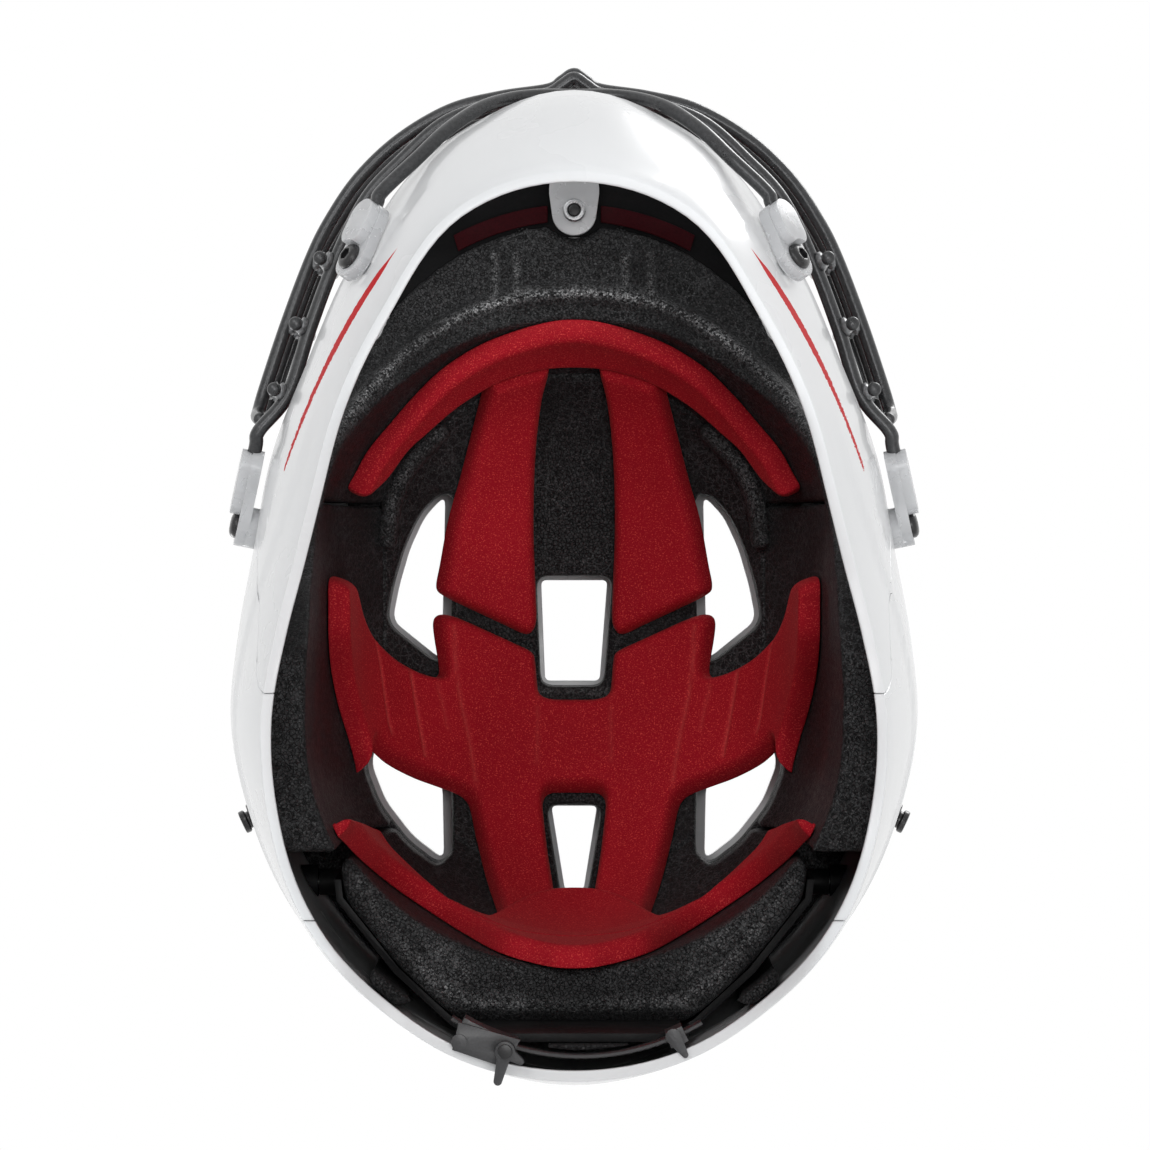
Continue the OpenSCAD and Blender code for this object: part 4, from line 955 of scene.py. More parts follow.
class HELMET_OT_visor(bpy.types.Operator):
    """Makes the visor and the red strip under it, whose near-black red is painted shade"""
    bl_idname = "helmet.make_visor"
    bl_label = "Make visor"

    def execute(self, context):
        make_finishes()
        rings = []
        for a in np.linspace(-VISOR_HALF + 0.5, VISOR_HALF - 0.5, 97):
            r0, r1, half = float(brow_r(a)), float(visor_r(a)), VISOR_THICK / 2
            ring = [around(a, r, visor_top(a, r)) for r in np.linspace(r0, r1 - 1.5, 6)]
            for b in np.radians((60, 30, 0, -30, -60)):
                r = r1 - half + half * math.cos(b)
                ring.append(around(a, r, visor_top(a, r1) - half + half * math.sin(b)))
            ring += [around(a, r, visor_top(a, r) - VISOR_THICK) for r in np.linspace(r1 - 1.5, r0, 6)]
            rings.append(ring)
        visor = shade(loft("visor_peak", rings), 40)
        finish_piece(visor, "helmet", "visor_dark", "visor", "visor")
        finish_piece(softened("brow_trim", "brow_strip", 0.3), "helmet", "trim_red", "trim", "brow_trim")
        return {"FINISHED"}


# ---------------------------------------------------------------- foam liner

RIB_X = (-28.6, -20.6, 18.6, 27.6)


def foam_bulk(name, inset, below=2.0):
    """What fills the crown shell, inset from its outside."""
    a = circuit(120)
    rings = [skirt(CROWN_R, BELT_Z, a, 0, inset) - np.array([0, 0, below])]
    rings += [skirt(CROWN_R, BELT_Z, a, v, inset) for v in np.linspace(0.04, 1, 16)]
    rings += [dome(CROWN_R, CROWN_N, SHELL_H, a, v, inset) for v in np.linspace(1.04, 1.96, 24)]
    return loft(name, rings, (0, MIDDLE_Y, -below), (0, MIDDLE_Y, SHELL_H - inset))


def head_space(name):
    """The room for the head, a little larger than the liner's drawn face."""
    a, ease = circuit(160), 0.15
    rings = [dome(CAVITY_R, CAVITY_N, CAVITY_H, a, 1, -ease) - np.array([0, 0, BELT_Z])]
    rings += [dome(CAVITY_R, CAVITY_N, CAVITY_H, a, v, -ease) for v in np.linspace(1, 1.97, 40)]
    return loft(name, rings, (0, MIDDLE_Y, 0), (0, MIDDLE_Y, CAVITY_H + ease))


def foam_block(name, outline, low_x=-FAR, high_x=FAR):
    """A block of foam under the shell, inside an outline seen from the side."""
    obj = foam_bulk(name, WALL + FOAM_GAP)
    shape = grown(eased(outline, 3.0), -FOAM_GAP / 2)
    return combine(obj, prism("cutter", shape, low_x, high_x, "X"), "INTERSECT")


def hollow(obj):
    """Cuts the head space and the vents out of a block."""
    combine(obj, head_space("cutter"), "DIFFERENCE")
    return cut_vents(obj, 1.6)


def relaxed(obj, passes=None):
    """Rounds a foam block all over, as a mould does."""
    s = settings()
    r = obj.modifiers.new("Grid", "REMESH")
    r.mode, r.voxel_size, r.use_smooth_shade = "VOXEL", s.foam_voxel, True
    m = obj.modifiers.new("Soften", "SMOOTH")
    m.factor, m.iterations = 0.5, passes or s.foam_soften
    settle(obj)
    obj.data.shade_smooth()
    return obj


def add_tube(obj, line, radius):
    return combine(obj, tube("cutter", line, radius, 16), "UNION")


def mark_painted_glints(obj, lines):
    """Marks the crests where a highlight is painted on the foam: each line with its reach in mm and its
    strength.
    """
    spots = np.array([v.co for v in obj.data.vertices]) / MM
    crest = np.zeros(len(spots))
    for line, reach, strength in lines:
        off = line_distance(spots, np.array(line, float))
        crest = np.maximum(crest, strength * np.exp(-(off / reach) ** 2))
    return marked(obj, "crest", crest)


def brow_edge_z(y):
    """The height of the brow foam's lower edge."""
    p = sorted(BROW_FOAM_SIDE[:6])
    return float(np.interp(y, [q[0] for q in p], [q[1] for q in p]))


class HELMET_OT_liner(bpy.types.Operator):
    """Makes the foam liner and the moving nape block"""
    bl_idname = "helmet.make_liner"
    bl_label = "Make foam liner"

    def execute(self, context):
        make_finishes()
        self.brow()
        self.crown()
        self.sides()
        self.rear()
        self.nape()
        return {"FINISHED"}

    def brow(self):
        """The brow foam with its lip under the visor, a notch for the clip, ribs and a rolled edge."""
        brow = foam_block("brow_foam", BROW_FOAM_SIDE)
        lip = []
        for a in np.linspace(-40, 40, 49):
            r = float(brow_r(a))
            fade = float(smooth((40 - abs(a)) / 12))
            low = float(visor_top(a, r)) - VISOR_THICK - 0.4
            lip.append([around(a, r - 6, low + 0.3), around(a, r + 5.6 * fade - 1, low + 0.3),
                        around(a, r + 5.6 * fade - 1, low - 1.6), around(a, r - 6, low - 2.6)])
        combine(brow, loft("cutter", lip), "UNION")
        notch = lathe("cutter", ((12.5, -20), (12.5, 8.0)), 48)
        combine(brow, lifted(notch, 0, -134.5, 181), "DIFFERENCE")
        hollow(brow)
        for x in RIB_X:
            add_tube(brow, [(x, -116.5, 179.0), (x, -108, 178.7), (x, -101, 178.4)], 1.9)
            add_tube(brow, [(x, -116.5, 178.6), (x * 1.004, -114.5, 178.4)], 2.7)
        ridge = []
        for a in range(-66, 67, 3):
            p = around(a, at(CAVITY_R, a) + 3.6, 0)
            ridge.append((p[0], p[1], brow_edge_z(p[1]) - 0.6))
        add_tube(brow, ridge, 3.6)
        add_tube(brow, [(x, -104.5 + abs(x) ** 2 * 0.002, 179.9) for x in np.linspace(-17, 16, 12)], 1.8)
        ribs = [([(x, -115, 176.9), (x, -101, 176.4)], 1.7, 0.45) for x in RIB_X]
        under = [(x, y, z - 3.6) for x, y, z in ridge]
        # Painted highlights under the rolled edge and along the ribs
        mark_painted_glints(relaxed(brow), [(under, 1.7, 1.0), (under, 3.4, 0.35), *ribs])
        finish_piece(brow, "helmet", "foam_black", "foam", "brow_liner")

    def crown(self):
        """The crown foam with a raised roll beside each temple."""
        glint_lines = []
        crown = hollow(foam_block("crown_foam", CROWN_FOAM_SIDE))
        for side in SIDES:
            line = [(side * 69.6, -12), (side * 67.4, -28), (side * 60.5, -42), (side * 49, -54)]
            line = [on_cavity_plan(p, 1.2) for p in smooth_line([(*p, 0) for p in line], 5)]
            add_tube(crown, line, 4.2)
            glint_lines.append(([p - np.array([0, 0, 3.6]) for p in line], 3.0, 0.35))
        for y, z in ((1.0, 236.0), (43.0, 236.0), (85.5, 236.0), (119.5, 231.0)):
            glint_lines.append(([(-12, y, z), (12, y, z)], 1.7, 0.8))
        # Painted highlights along each roll and across the top of the crown
        mark_painted_glints(relaxed(crown), glint_lines)
        finish_piece(crown, "helmet", "foam_black", "foam", "crown_liner")

    def sides(self):
        """The foam beside the ears, with three knuckles on its lower edge."""
        for side, word in SIDE_WORDS:
            low, high = (60, FAR) if side > 0 else (-FAR, -60)
            wall = hollow(foam_block(f"side_foam_{word}", SIDE_FOAM_SIDE, low, high))
            for y, z, r in ((52, 33, 4.0), (68, 33.5, 4.6), (84, 36, 4.0)):
                a = math.degrees(math.atan2(100.0, MIDDLE_Y - y))
                reach = 0.52 * float(at(RIM_R, a)) + 0.48 * float(at(CROWN_R, a)) - WALL - 0.8 - r
                p = around(side * a, reach, 0)
                add_tube(wall, [(p[0], p[1], z - 2), (p[0], p[1], z + 16)], r)
            finish_piece(relaxed(wall), "helmet", "foam_black", "foam", f"side_liner_{word}")

    def rear(self):
        """The foam above the nape, with a leg down each side."""
        rear = hollow(foam_block("rear_foam", REAR_FOAM_SIDE))
        for x in (-60, 60):
            leg = foam_bulk("leg", WALL + FOAM_GAP)
            post = lathe("cutter", ((9, 56), (9, 156)), 32)
            combine(leg, lifted(post, x, 136, 0), "INTERSECT")
            combine(leg, foam_bulk("cutter", WALL + FOAM_GAP + 5, 10.0), "DIFFERENCE")
            combine(rear, leg, "UNION")
        finish_piece(relaxed(rear), "helmet", "foam_black", "foam", "rear_liner")

    def nape(self):
        """The moving block at the nape with its folds, and the cushion on it."""
        half = ((80, 96), (78.5, 110), (59.5, 134), (40.5, 151.5), (37, 153.5))
        plan = [*half, *((-x, y) for x, y in reversed(half))]
        block = prism("nape_block", eased(plan, 4.0), 78, 146, "Z")
        wedge = prism("cutter", ((153.5 - 8, 76), (160, 76), (160, 92)), -90, 90, "X")
        combine(block, wedge, "DIFFERENCE")
        combine(block, head_space("cutter"), "DIFFERENCE")
        for side in SIDES:
            crease = [(side * x, y, 77.6) for x, y in ((76, 100), (66, 116), (45, 136), (30, 145))]
            combine(block, tube("cutter", smooth_line(crease, 5), 2.2, 12), "DIFFERENCE")
        edge = ((73, 105), (64.4, 117), (56.3, 128), (48.8, 137), (36.8, 145))
        edge = [*((-x, y, 79) for x, y in edge), (0, 147, 79), *((x, y, 79) for x, y in reversed(edge))]
        shoulders = [[(side * x, y, 79) for x, y in ((66, 104), (50, 125), (38, 136))] for side in SIDES]
        # Painted highlights along the block's lower edge and its shoulders
        mark_painted_glints(relaxed(block, 26), [(edge, 2.6, 0.5), *((line, 5.0, 0.3) for line in shoulders)])
        finish_piece(block, "nape", "foam_black", "foam", "nape_foam")
        cushion = softened("nape_cushion", "nape_bulge", 1.2)
        finish_piece(cushion, "nape", "foam_black", "foam", "nape_cushion")


# ---------------------------------------------------------------- moulding dots

# Where the photo shows them, in its pixels
DOT_SPOTS = (
    (460, 297), (411, 327), (521, 233), (508, 273), (545, 268), (602, 272), (620, 233), (637, 275),
    (677, 293), (727, 322), (372, 390), (566, 402), (590, 465), (452, 505), (420, 560), (398, 490),
    (700, 505), (745, 560),
)


def points_tree(name, inputs):
    """An empty tree that takes points and a finish: its own inputs by name, with a kind and a first value."""
    tree = bpy.data.node_groups.new(name, "GeometryNodeTree")
    for key, (kind, *value) in {"Points": ("Geometry",), **inputs, "Finish": ("Material",)}.items():
        socket = tree.interface.new_socket(key, in_out="INPUT", socket_type=f"NodeSocket{kind}")
        if value:
            socket.default_value = value[0]
    tree.interface.new_socket("Geometry", in_out="OUTPUT", socket_type="NodeSocketGeometry")
    return tree, tree.nodes.new("NodeGroupInput").outputs, tree.nodes.new("NodeGroupOutput").inputs


def end_tree(tree, given, out, copies):
    """Ends a tree with its copies made real, in the finish that it was given."""
    real = node(tree, "GeometryNodeRealizeInstances", {0: copies.outputs[0]})
    done = node(tree, "GeometryNodeSetMaterial", {"Geometry": real.outputs[0], "Material": given["Finish"]})
    tree.links.new(done.outputs[0], out[0])
    return tree


def facing_turn(tree):
    """The turn that stands a copy's Z on its point's facing."""
    facing = node(tree, "GeometryNodeInputNamedAttribute", {"Name": "facing"}, data_type="FLOAT_VECTOR")
    turn = node(tree, "FunctionNodeAlignRotationToVector", {"Vector": facing.outputs[0]}, axis="Z")
    return turn.outputs[0]


def dot_tree():
    """Clusters of small raised dots on points that carry a facing."""
    tree, given, out = points_tree("Moulding Dots", {
        "Dot Radius": ("Float", 0.00042), "Pitch": ("Float", 0.00125), "Cluster Radius": ("Float", 0.0027),
        "Seed": ("Int", 7)})
    side = math_node(tree, "MULTIPLY", given["Pitch"], 4.0)
    grid = node(tree, "GeometryNodeMeshGrid",
                {"Size X": side, "Size Y": side, "Vertices X": 5, "Vertices Y": 5})
    place = node(tree, "GeometryNodeInputPosition")
    far = node(tree, "ShaderNodeVectorMath", {0: place.outputs[0]}, operation="LENGTH")
    outer = node(tree, "FunctionNodeCompare", {0: far.outputs["Value"], 1: given["Cluster Radius"]},
                 data_type="FLOAT", operation="GREATER_THAN")
    kept = node(tree, "GeometryNodeDeleteGeometry",
                {"Geometry": grid.outputs["Mesh"], "Selection": outer.outputs[0]}, domain="POINT")
    ball = node(tree, "GeometryNodeMeshIcoSphere", {"Radius": given["Dot Radius"], "Subdivisions": 2})
    dots = node(tree, "GeometryNodeInstanceOnPoints",
                {"Points": kept.outputs[0], "Instance": ball.outputs["Mesh"]})
    spin = node(tree, "FunctionNodeRandomValue", {2: 0.0, 3: 1.5, "Seed": given["Seed"]}, data_type="FLOAT")
    euler = node(tree, "ShaderNodeCombineXYZ", {2: spin.outputs[1]})
    twist = node(tree, "FunctionNodeRotateRotation", {0: facing_turn(tree), 1: euler.outputs[0]},
                 rotation_space="LOCAL")
    sets = node(tree, "GeometryNodeInstanceOnPoints", {
        "Points": given["Points"], "Instance": dots.outputs[0], "Rotation": twist.outputs[0]})
    return end_tree(tree, given, out, sets)


def repeat_tree(name):
    """A part placed on points, turned so that its Z follows each point's facing and its X the point's run."""
    tree, given, out = points_tree(name, {"Part": ("Object",), "Size": ("Float", 1.0)})
    part = node(tree, "GeometryNodeObjectInfo", {"Object": given["Part"]}, transform_space="ORIGINAL")
    run = node(tree, "GeometryNodeInputNamedAttribute", {"Name": "run"}, data_type="FLOAT_VECTOR")
    turn = node(tree, "FunctionNodeAlignRotationToVector",
                {"Rotation": facing_turn(tree), "Vector": run.outputs[0]}, axis="X", pivot_axis="Z")
    copies = node(tree, "GeometryNodeInstanceOnPoints", {
        "Points": given["Points"], "Instance": part.outputs["Geometry"], "Rotation": turn.outputs[0],
        "Scale": given["Size"]})
    return end_tree(tree, given, out, copies)


def point_object(name, spots):
    """Points with a facing and a run, for the trees above. Spots are (point in mm, facing, run)."""
    obj = new_object(name, [s[0] for s in spots], [])
    for key, i in (("facing", 1), ("run", 2)):
        layer = obj.data.attributes.new(key, "FLOAT_VECTOR", "POINT")
        layer.data.foreach_set("vector", [float(c) for s in spots for c in s[i]])
    return obj


def grow_tree(obj, tree, values):
    """Runs a tree on an object and keeps its result as a plain mesh."""
    m = obj.modifiers.new("Repeat", "NODES")
    m.node_group = tree
    for item in tree.interface.items_tree:
        if item.item_type == "SOCKET" and item.in_out == "INPUT" and item.name in values:
            m[item.identifier] = values[item.name]
    return settle(obj)


def seen_from_below(px, py, targets):
    """Where the photograph's line through a pixel first meets the foam or a pad, and the face's normal."""
    eye = Vector((0.0, 0.0, -EYE_DROP * MM))
    aim = Vector(((px - MIDDLE_PX[0]) * PIXEL * MM, (py - MIDDLE_PX[1]) * PIXEL * MM, 0)) - eye
    best = None
    for obj in targets:
        hit, where, normal, _ = obj.ray_cast(eye, aim.normalized())
        if hit and (best is None or (where - eye).length < (best[0] - eye).length):
            best = (where, normal)
    return best


class HELMET_OT_dots(bpy.types.Operator):
    """Scatters the moulding dots over the foam liner"""
    bl_idname = "helmet.make_dots"
    bl_label = "Make moulding dots"

    def execute(self, context):
        names = ("brow_foam", "crown_foam", "side_foam_left", "side_foam_right")
        foams = [bpy.data.objects[n] for n in names]
        bpy.context.view_layer.update()
        spots = []
        for px, py in DOT_SPOTS:
            found = seen_from_below(px, py, foams)
            if found:
                where, normal = found
                spots.append(((where - normal * 0.0001) / MM, normal, (1, 0, 0)))
        if not spots:
            raise RuntimeError("no place for the moulding dots was found")
        dots = point_object("moulding_dots", spots)
        grow_tree(dots, dot_tree(), {"Finish": FINISHES["foam"]})
        dots.data.shade_smooth()
        finish_piece(dots, "helmet", "foam_black", "foam")
        return {"FINISHED"}


# ---------------------------------------------------------------- comfort pads

def head_face(a, s, d):
    """A point d inside the head space's face: s is 90 at the top, 0 at the belt and in mm below it."""
    up = np.radians(np.clip(s, 0, 90))
    r = (at(CAVITY_R, a) - d) * np.maximum(np.cos(up), 0) ** (2 / CAVITY_N)
    z = BELT_Z + (CAVITY_H - d - BELT_Z) * np.sin(up) ** (2 / CAVITY_N) + np.minimum(s, 0)
    return around(a, r, z)


def seen_at(points):
    """Where the view from below meets the head space: points of (pixel x, pixel y, depth) as angle and s."""
    px, py, d = np.asarray(points, float).T
    x0, y0 = (px - MIDDLE_PX[0]) * PIXEL, (py - MIDDLE_PX[1]) * PIXEL
    low, high = np.full(len(px), 60.0), CAVITY_H - d
    for _ in range(40):
        z = (low + high) / 2
        k = 1 + z / EYE_DROP
        x, y = x0 * k, y0 * k - MIDDLE_Y
        a = np.degrees(np.arctan2(x, -y))
        lift = np.maximum(z - BELT_Z, 0) / (CAVITY_H - d - BELT_Z)
        inside = (np.hypot(x, y) / (at(CAVITY_R, a) - d)) ** CAVITY_N + lift ** CAVITY_N < 1
        low, high = np.where(inside, z, low), np.where(inside, high, z)
    s = np.where(z < BELT_Z, z - BELT_Z, np.degrees(np.arcsin(np.clip(lift, 0, 1) ** (CAVITY_N / 2))))
    return a, s


class Unrolled:
    """The head space laid flat round its top, so that a sheet can be meshed in a plane."""
    turns = np.arange(0, 361, 3.0)
    levels = np.concatenate([np.arange(-60, 0, 3.0), np.linspace(0, 90, 91)])

    def __init__(self):
        face = head_face(self.turns[:, None], self.levels[None, :], 4.0)
        steps = np.linalg.norm(np.diff(face, axis=1), axis=2)
        inward = np.cumsum(steps[:, ::-1], axis=1)[:, ::-1]
        self.reach = np.concatenate([inward, np.zeros((len(self.turns), 1))], axis=1)

    def row(self, a):
        """How far each level lies from the top at an angle."""
        t = (a % 360) / 3.0
        i = min(int(t), len(self.turns) - 2)
        return self.reach[i] * (1 - t + i) + self.reach[i + 1] * (t - i)

    def flat(self, a, s):
        """Angles and levels as places in the plane."""
        v = np.array([np.interp(q, self.levels, self.row(b)) for b, q in zip(a, s)])
        return np.stack([v * np.sin(np.radians(a)), -v * np.cos(np.radians(a))], axis=1)

    def back(self, points):
        """Places in the plane as angles and levels."""
        a = np.degrees(np.arctan2(points[:, 0], -points[:, 1]))
        v = np.hypot(points[:, 0], points[:, 1])
        return a, np.array([np.interp(q, self.row(b)[::-1], self.levels[::-1]) for b, q in zip(a, v)])


def even_line(unrolled, points, pitch, closed=False):
    """A smooth line through points of the view from below, laid flat and evenly spaced."""
    p = np.array(points, float)
    if closed:
        q = [p[-1], *p, p[0], p[1]]
    else:
        q = [2 * p[0] - p[1], *p, 2 * p[-1] - p[-2]]
    fine = [spline(q[i - 1], q[i], q[i + 1], q[i + 2], t) for i in range(1, len(q) - 2)
            for t in np.linspace(0, 1, 14, endpoint=False)]
    fine = unrolled.flat(*seen_at([*fine, q[-2]]))
    run = np.concatenate([[0], np.cumsum(np.linalg.norm(np.diff(fine, axis=0), axis=1))])
    spots = np.linspace(0, run[-1], int(run[-1] / pitch) + 1)
    line = np.stack([np.interp(spots, run, fine[:, k]) for k in (0, 1)], axis=1)
    return line[:-1] if closed else line


def line_distance(points, line, closed=False):
    """How far each point lies from a line of short pieces, in two or three dimensions."""
    start, end = (line, np.roll(line, -1, 0)) if closed else (line[:-1], line[1:])
    run = end - start
    size = np.maximum((run ** 2).sum(1), 1e-12)
    out = []
    for part in np.array_split(points, max(len(points) // 800, 1)):
        off = part[:, None, :] - start[None]
        t = np.clip((off * run).sum(2) / size, 0, 1)
        out.append(np.sqrt(((off - t[..., None] * run) ** 2).sum(2)).min(1))
    return np.concatenate(out)


def within(points, outline):
    """Which points of the plane lie inside a closed outline."""
    x, y = points[:, :1], points[:, 1:]
    ax, ay = outline.T
    bx, by = np.roll(outline, -1, 0).T
    crosses = (ay > y) != (by > y)
    reach = ax + (y - ay) * (bx - ax) / np.where(by == ay, 1e-9, by - ay)
    return (crosses & (x < reach)).sum(1) % 2 == 1


def quarter(d, reach):
    """The height of a rounded shoulder at a distance from the edge."""
    return np.sqrt(np.maximum(1 - (1 - np.minimum(d / reach, 1)) ** 2, 0))


def sheet_points(edge, lines):
    """The points of a sheet: its edge, rings inside it, rows along the pressed lines and a grid."""
    ahead = np.roll(edge, -1, 0) - np.roll(edge, 1, 0)
    area = (edge[:, 0] * np.roll(edge[:, 1], -1) - np.roll(edge[:, 0], -1) * edge[:, 1]).sum()
    inward = np.stack([-ahead[:, 1], ahead[:, 0]], axis=1) * np.sign(area)
    inward /= np.linalg.norm(inward, axis=1)[:, None]
    sets = [edge]
    for d in (0.5, 1.1, 1.9, 3.0, 4.3):
        ring = edge + inward * d
        sets.append(ring[within(ring, edge) & (line_distance(ring, edge, True) > 0.86 * d)])
    for line in lines:
        along = np.gradient(line, axis=0)
        across = np.stack([-along[:, 1], along[:, 0]], axis=1) / np.linalg.norm(along, axis=1)[:, None]
        for d in (0, 0.8, -0.8, 1.7, -1.7):
            row = line + across * d
            sets.append(row[within(row, edge) & (line_distance(row, edge, True) > 5.0)])
    low, high = edge.min(0), edge.max(0)
    gx, gy = np.meshgrid(np.arange(low[0], high[0], 2.3), np.arange(low[1], high[1], 2.0))
    gx[1::2] += 1.15
    grid = np.stack([gx.ravel(), gy.ravel()], axis=1)
    grid = grid[within(grid, edge) & (line_distance(grid, edge, True) > 5.6)]
    for line in lines:
        grid = grid[line_distance(grid, line) > 2.6]
    return np.concatenate([*sets, grid])


def pad_sheet(name, outline, lines=(), depths=(), shoulder=4.4, lean=0.0, worn=1.0):
    """A soft sheet on the head space, outlined as it is seen from below, with pressed lines."""
    s = settings()
    height, depth = s.pad_height * 1000, s.line_depth * 1000
    unrolled = Unrolled()
    edge = even_line(unrolled, outline, 1.6, True)
    lines = [even_line(unrolled, line, 1.6) for line in lines]
    points = sheet_points(edge, lines)
    count = len(edge)
    points, _, faces, *_ = delaunay_2d_cdt([Vector(p) for p in points], [], [list(range(count))], 1, 1e-6)
    flat = np.array([tuple(p) for p in points])
    a, level = unrolled.back(flat)
    off_edge = line_distance(head_face(a, level, 3.0), head_face(*unrolled.back(edge), 3.0), True)
    share = quarter(off_edge, shoulder)
    press = np.zeros(len(flat))
    for line, deep in zip(lines, depths or [1.0] * len(lines)):
        near = line_distance(head_face(a, level, 3.0), head_face(*unrolled.back(line), 3.0))
        press = np.maximum(press, np.exp(-(near / 0.8) ** 2) * deep)
    thick = 1.2 + (height - 1.2) * share - depth * press * np.minimum(share * 1.5, 1)
    foot = head_face(a, level, 0.4)
    stand = 0.4 + lean * np.maximum(foot[:, 2] - 136, 0)
    top, base = head_face(a, level, stand + thick), head_face(a, level, stand)
    m = len(flat)
    uses = {}
    for f in faces:
        for i, v in enumerate(f):
            w = f[(i + 1) % len(f)]
            uses.setdefault((min(v, w), max(v, w)), []).append((v, w))
    solid = [tuple(f) for f in faces] + [tuple(m + v for v in reversed(f)) for f in faces]
    solid += [(w, v, m + v, m + w) for (v, w), in (u for u in uses.values() if len(u) == 1)]
    obj = new_object(name, [*top, *base], solid)
    marked(obj, "pressed", [*(press * worn), *np.zeros(m)])
    held = obj.vertex_groups.new(name="held")
    pins = np.where(press > 0.4, 1.0, 0.25 + 0.75 * (1 - np.minimum(share * 1.2, 1)))
    for i, weight in enumerate(pins):
        held.add([i], float(weight), "REPLACE")
    held.add(list(range(m, 2 * m)), 1.0, "REPLACE")
    bm = bmesh.new()
    bm.from_mesh(obj.data)
    bmesh.ops.recalc_face_normals(bm, faces=bm.faces)
    bm.to_mesh(obj.data)
    bm.free()
    return obj


SWELL_FRAMES = 14
CLOTH = {
    "quality": 5, "mass": 0.15, "tension_stiffness": 25, "compression_stiffness": 25, "shear_stiffness": 12,
    "bending_stiffness": 1.5, "use_pressure": True, "uniform_pressure_force": 3.0,
    "vertex_group_mass": "held", "pin_stiffness": 1.0,
}


def swell(pads):
    """Fills the pads with a cloth simulation, held at their backs and pressed lines."""
    scene = bpy.context.scene
    rest = {}
    for p in pads:
        rest[p.name] = np.array([v.co for v in p.data.vertices])
        c = p.modifiers.new("Swell", "CLOTH")
        for key, value in CLOTH.items():
            setattr(c.settings, key, value)
        c.settings.effector_weights.gravity = 0
        c.collision_settings.use_collision = False
        c.collision_settings.use_self_collision = False
        c.point_cache.frame_start, c.point_cache.frame_end = 1, SWELL_FRAMES
    for f in range(1, SWELL_FRAMES + 1):
        scene.frame_set(f)
    depsgraph = bpy.context.evaluated_depsgraph_get()
    most = settings().pad_swell
    for p in pads:
        mesh = p.evaluated_get(depsgraph).to_mesh()
        now = np.array([v.co for v in mesh.vertices])
        p.evaluated_get(depsgraph).to_mesh_clear()
        move = now - rest[p.name]
        size = np.linalg.norm(move, axis=1)
        move *= np.minimum(1, most / np.maximum(size, 1e-9))[:, None]
        p.modifiers.clear()
        p.data.vertices.foreach_set("co", (rest[p.name] + move).ravel())
        p.data.update()
    scene.frame_set(1)


def flipped(points):
    """Points of the view from below, mirrored to the other side."""
    return [(2 * MIDDLE_PX[0] - p[0], *p[1:]) for p in reversed(points)]


# Outlines and pressed lines as the photo shows them: a pixel across and down, and a depth in mm.
# Halves run from the middle round the right side of the head.
CENTRE_HALF = (
    (574, 697, 7), (552, 696.5, 7), (541, 692, 7), (538.5, 680, 7), (537, 662, 7), (533.6, 651, 7),
    (515, 641.5, 7), (491, 630.5, 7), (470, 621, 7), (455, 615.8, 7), (446, 616.5, 7), (442.5, 623, 7),
    (443.6, 637, 7), (447, 660, 7), (447.6, 670, 7), (444, 675, 7), (432, 673.6, 7), (414.8, 667, 7),
    (394, 654, 7), (373.5, 633, 7), (363, 612, 7), (354.5, 589, 6), (349, 580.5, 5), (341.5, 578.5, 4),
    (334.5, 580.5, 2.5), (332.2, 589, 2), (332.3, 603, 2), (332.7, 640, 2), (335.4, 672, 2), (342, 705, 2),
    (351.5, 737, 2), (357.5, 760, 2), (361, 767, 3), (366, 767.5, 5), (371.3, 760, 6), (374, 748, 7),
    (377.5, 738.5, 7), (397, 755.6, 7), (421, 769, 7), (445, 778.3, 7), (461, 784.4, 7), (470, 790, 7),
    (475.5, 800, 7), (481.4, 828, 7), (490.8, 865.4, 7), (500, 893, 7), (506, 908, 7), (522, 914, 7),
    (545, 910, 7), (555.5, 900, 7), (555.5, 888, 7), (549.5, 850, 7), (545, 812, 7), (544.3, 794, 7),
    (550, 785.5, 7), (562, 784.5, 7),
)
CENTRE_LINES = (
    ((374, 641, 7), (379, 668, 7), (386, 716, 7), (390, 732, 7)),
    ((409, 671, 7), (415, 708, 7), (424, 757, 7)), ((435, 684, 7), (441, 704, 7), (446, 728, 7)),
    ((452, 626, 7), (457, 686, 7), (468, 740, 7), (475, 786, 7)),
    ((536, 660, 7), (537, 710, 7), (536.5, 760, 7)),
)
FRONT_HALF = (
    (574, 323.5, 2), (548, 326, 2), (513.7, 335.3, 2), (479.2, 349.3, 2), (444.8, 371.2, 2),
    (417.2, 397.6, 2), (394.3, 424, 2), (371.3, 452, 2), (357.5, 477, 2), (353.8, 489, 3), (357, 496, 4),
    (364.5, 498.3, 5.5), (374, 495, 7), (388, 481, 7), (408, 454, 7), (426.4, 437.3, 7), (458.6, 409.8, 7),
    (495.3, 387.2, 7), (520.5, 378, 7), (552.7, 371.2, 7),
)
CROWN_HALF = (
    (500, 384.5, 7), (524, 376, 7), (547, 372, 7), (550, 379, 7), (543, 408, 7), (537.2, 460, 7),
    (535.3, 530, 7), (537.5, 595, 7), (538.4, 620, 7), (535, 631, 7), (527.5, 634, 7), (508, 625, 7),
    (480, 612, 7), (450.5, 597.5, 7), (445, 589.5, 7), (447.8, 570, 7), (455, 527, 7), (466.6, 483.7, 7),
    (478, 438, 7), (488.4, 397, 7), (492.5, 388, 7),
)
NAPE_HALF = (
    (574, 963.8, 2), (544.4, 961, 2), (501.5, 948.6, 2), (464, 928.5, 2), (431.9, 908, 2), (397, 884, 2),
    (364.9, 857.5, 2), (346, 838, 2), (335.8, 826, 3), (337.5, 819.5, 4), (345, 818.5, 5), (370.2, 828, 6),
    (389, 850.7, 6.5), (418.5, 879, 6.5), (445.2, 899, 6.5), (469.4, 912, 6.5), (484, 916, 6.5),
    (501.5, 911, 6.5), (520, 903.5, 6.5), (539, 899, 6.5), (560, 896.8, 6.5),
)
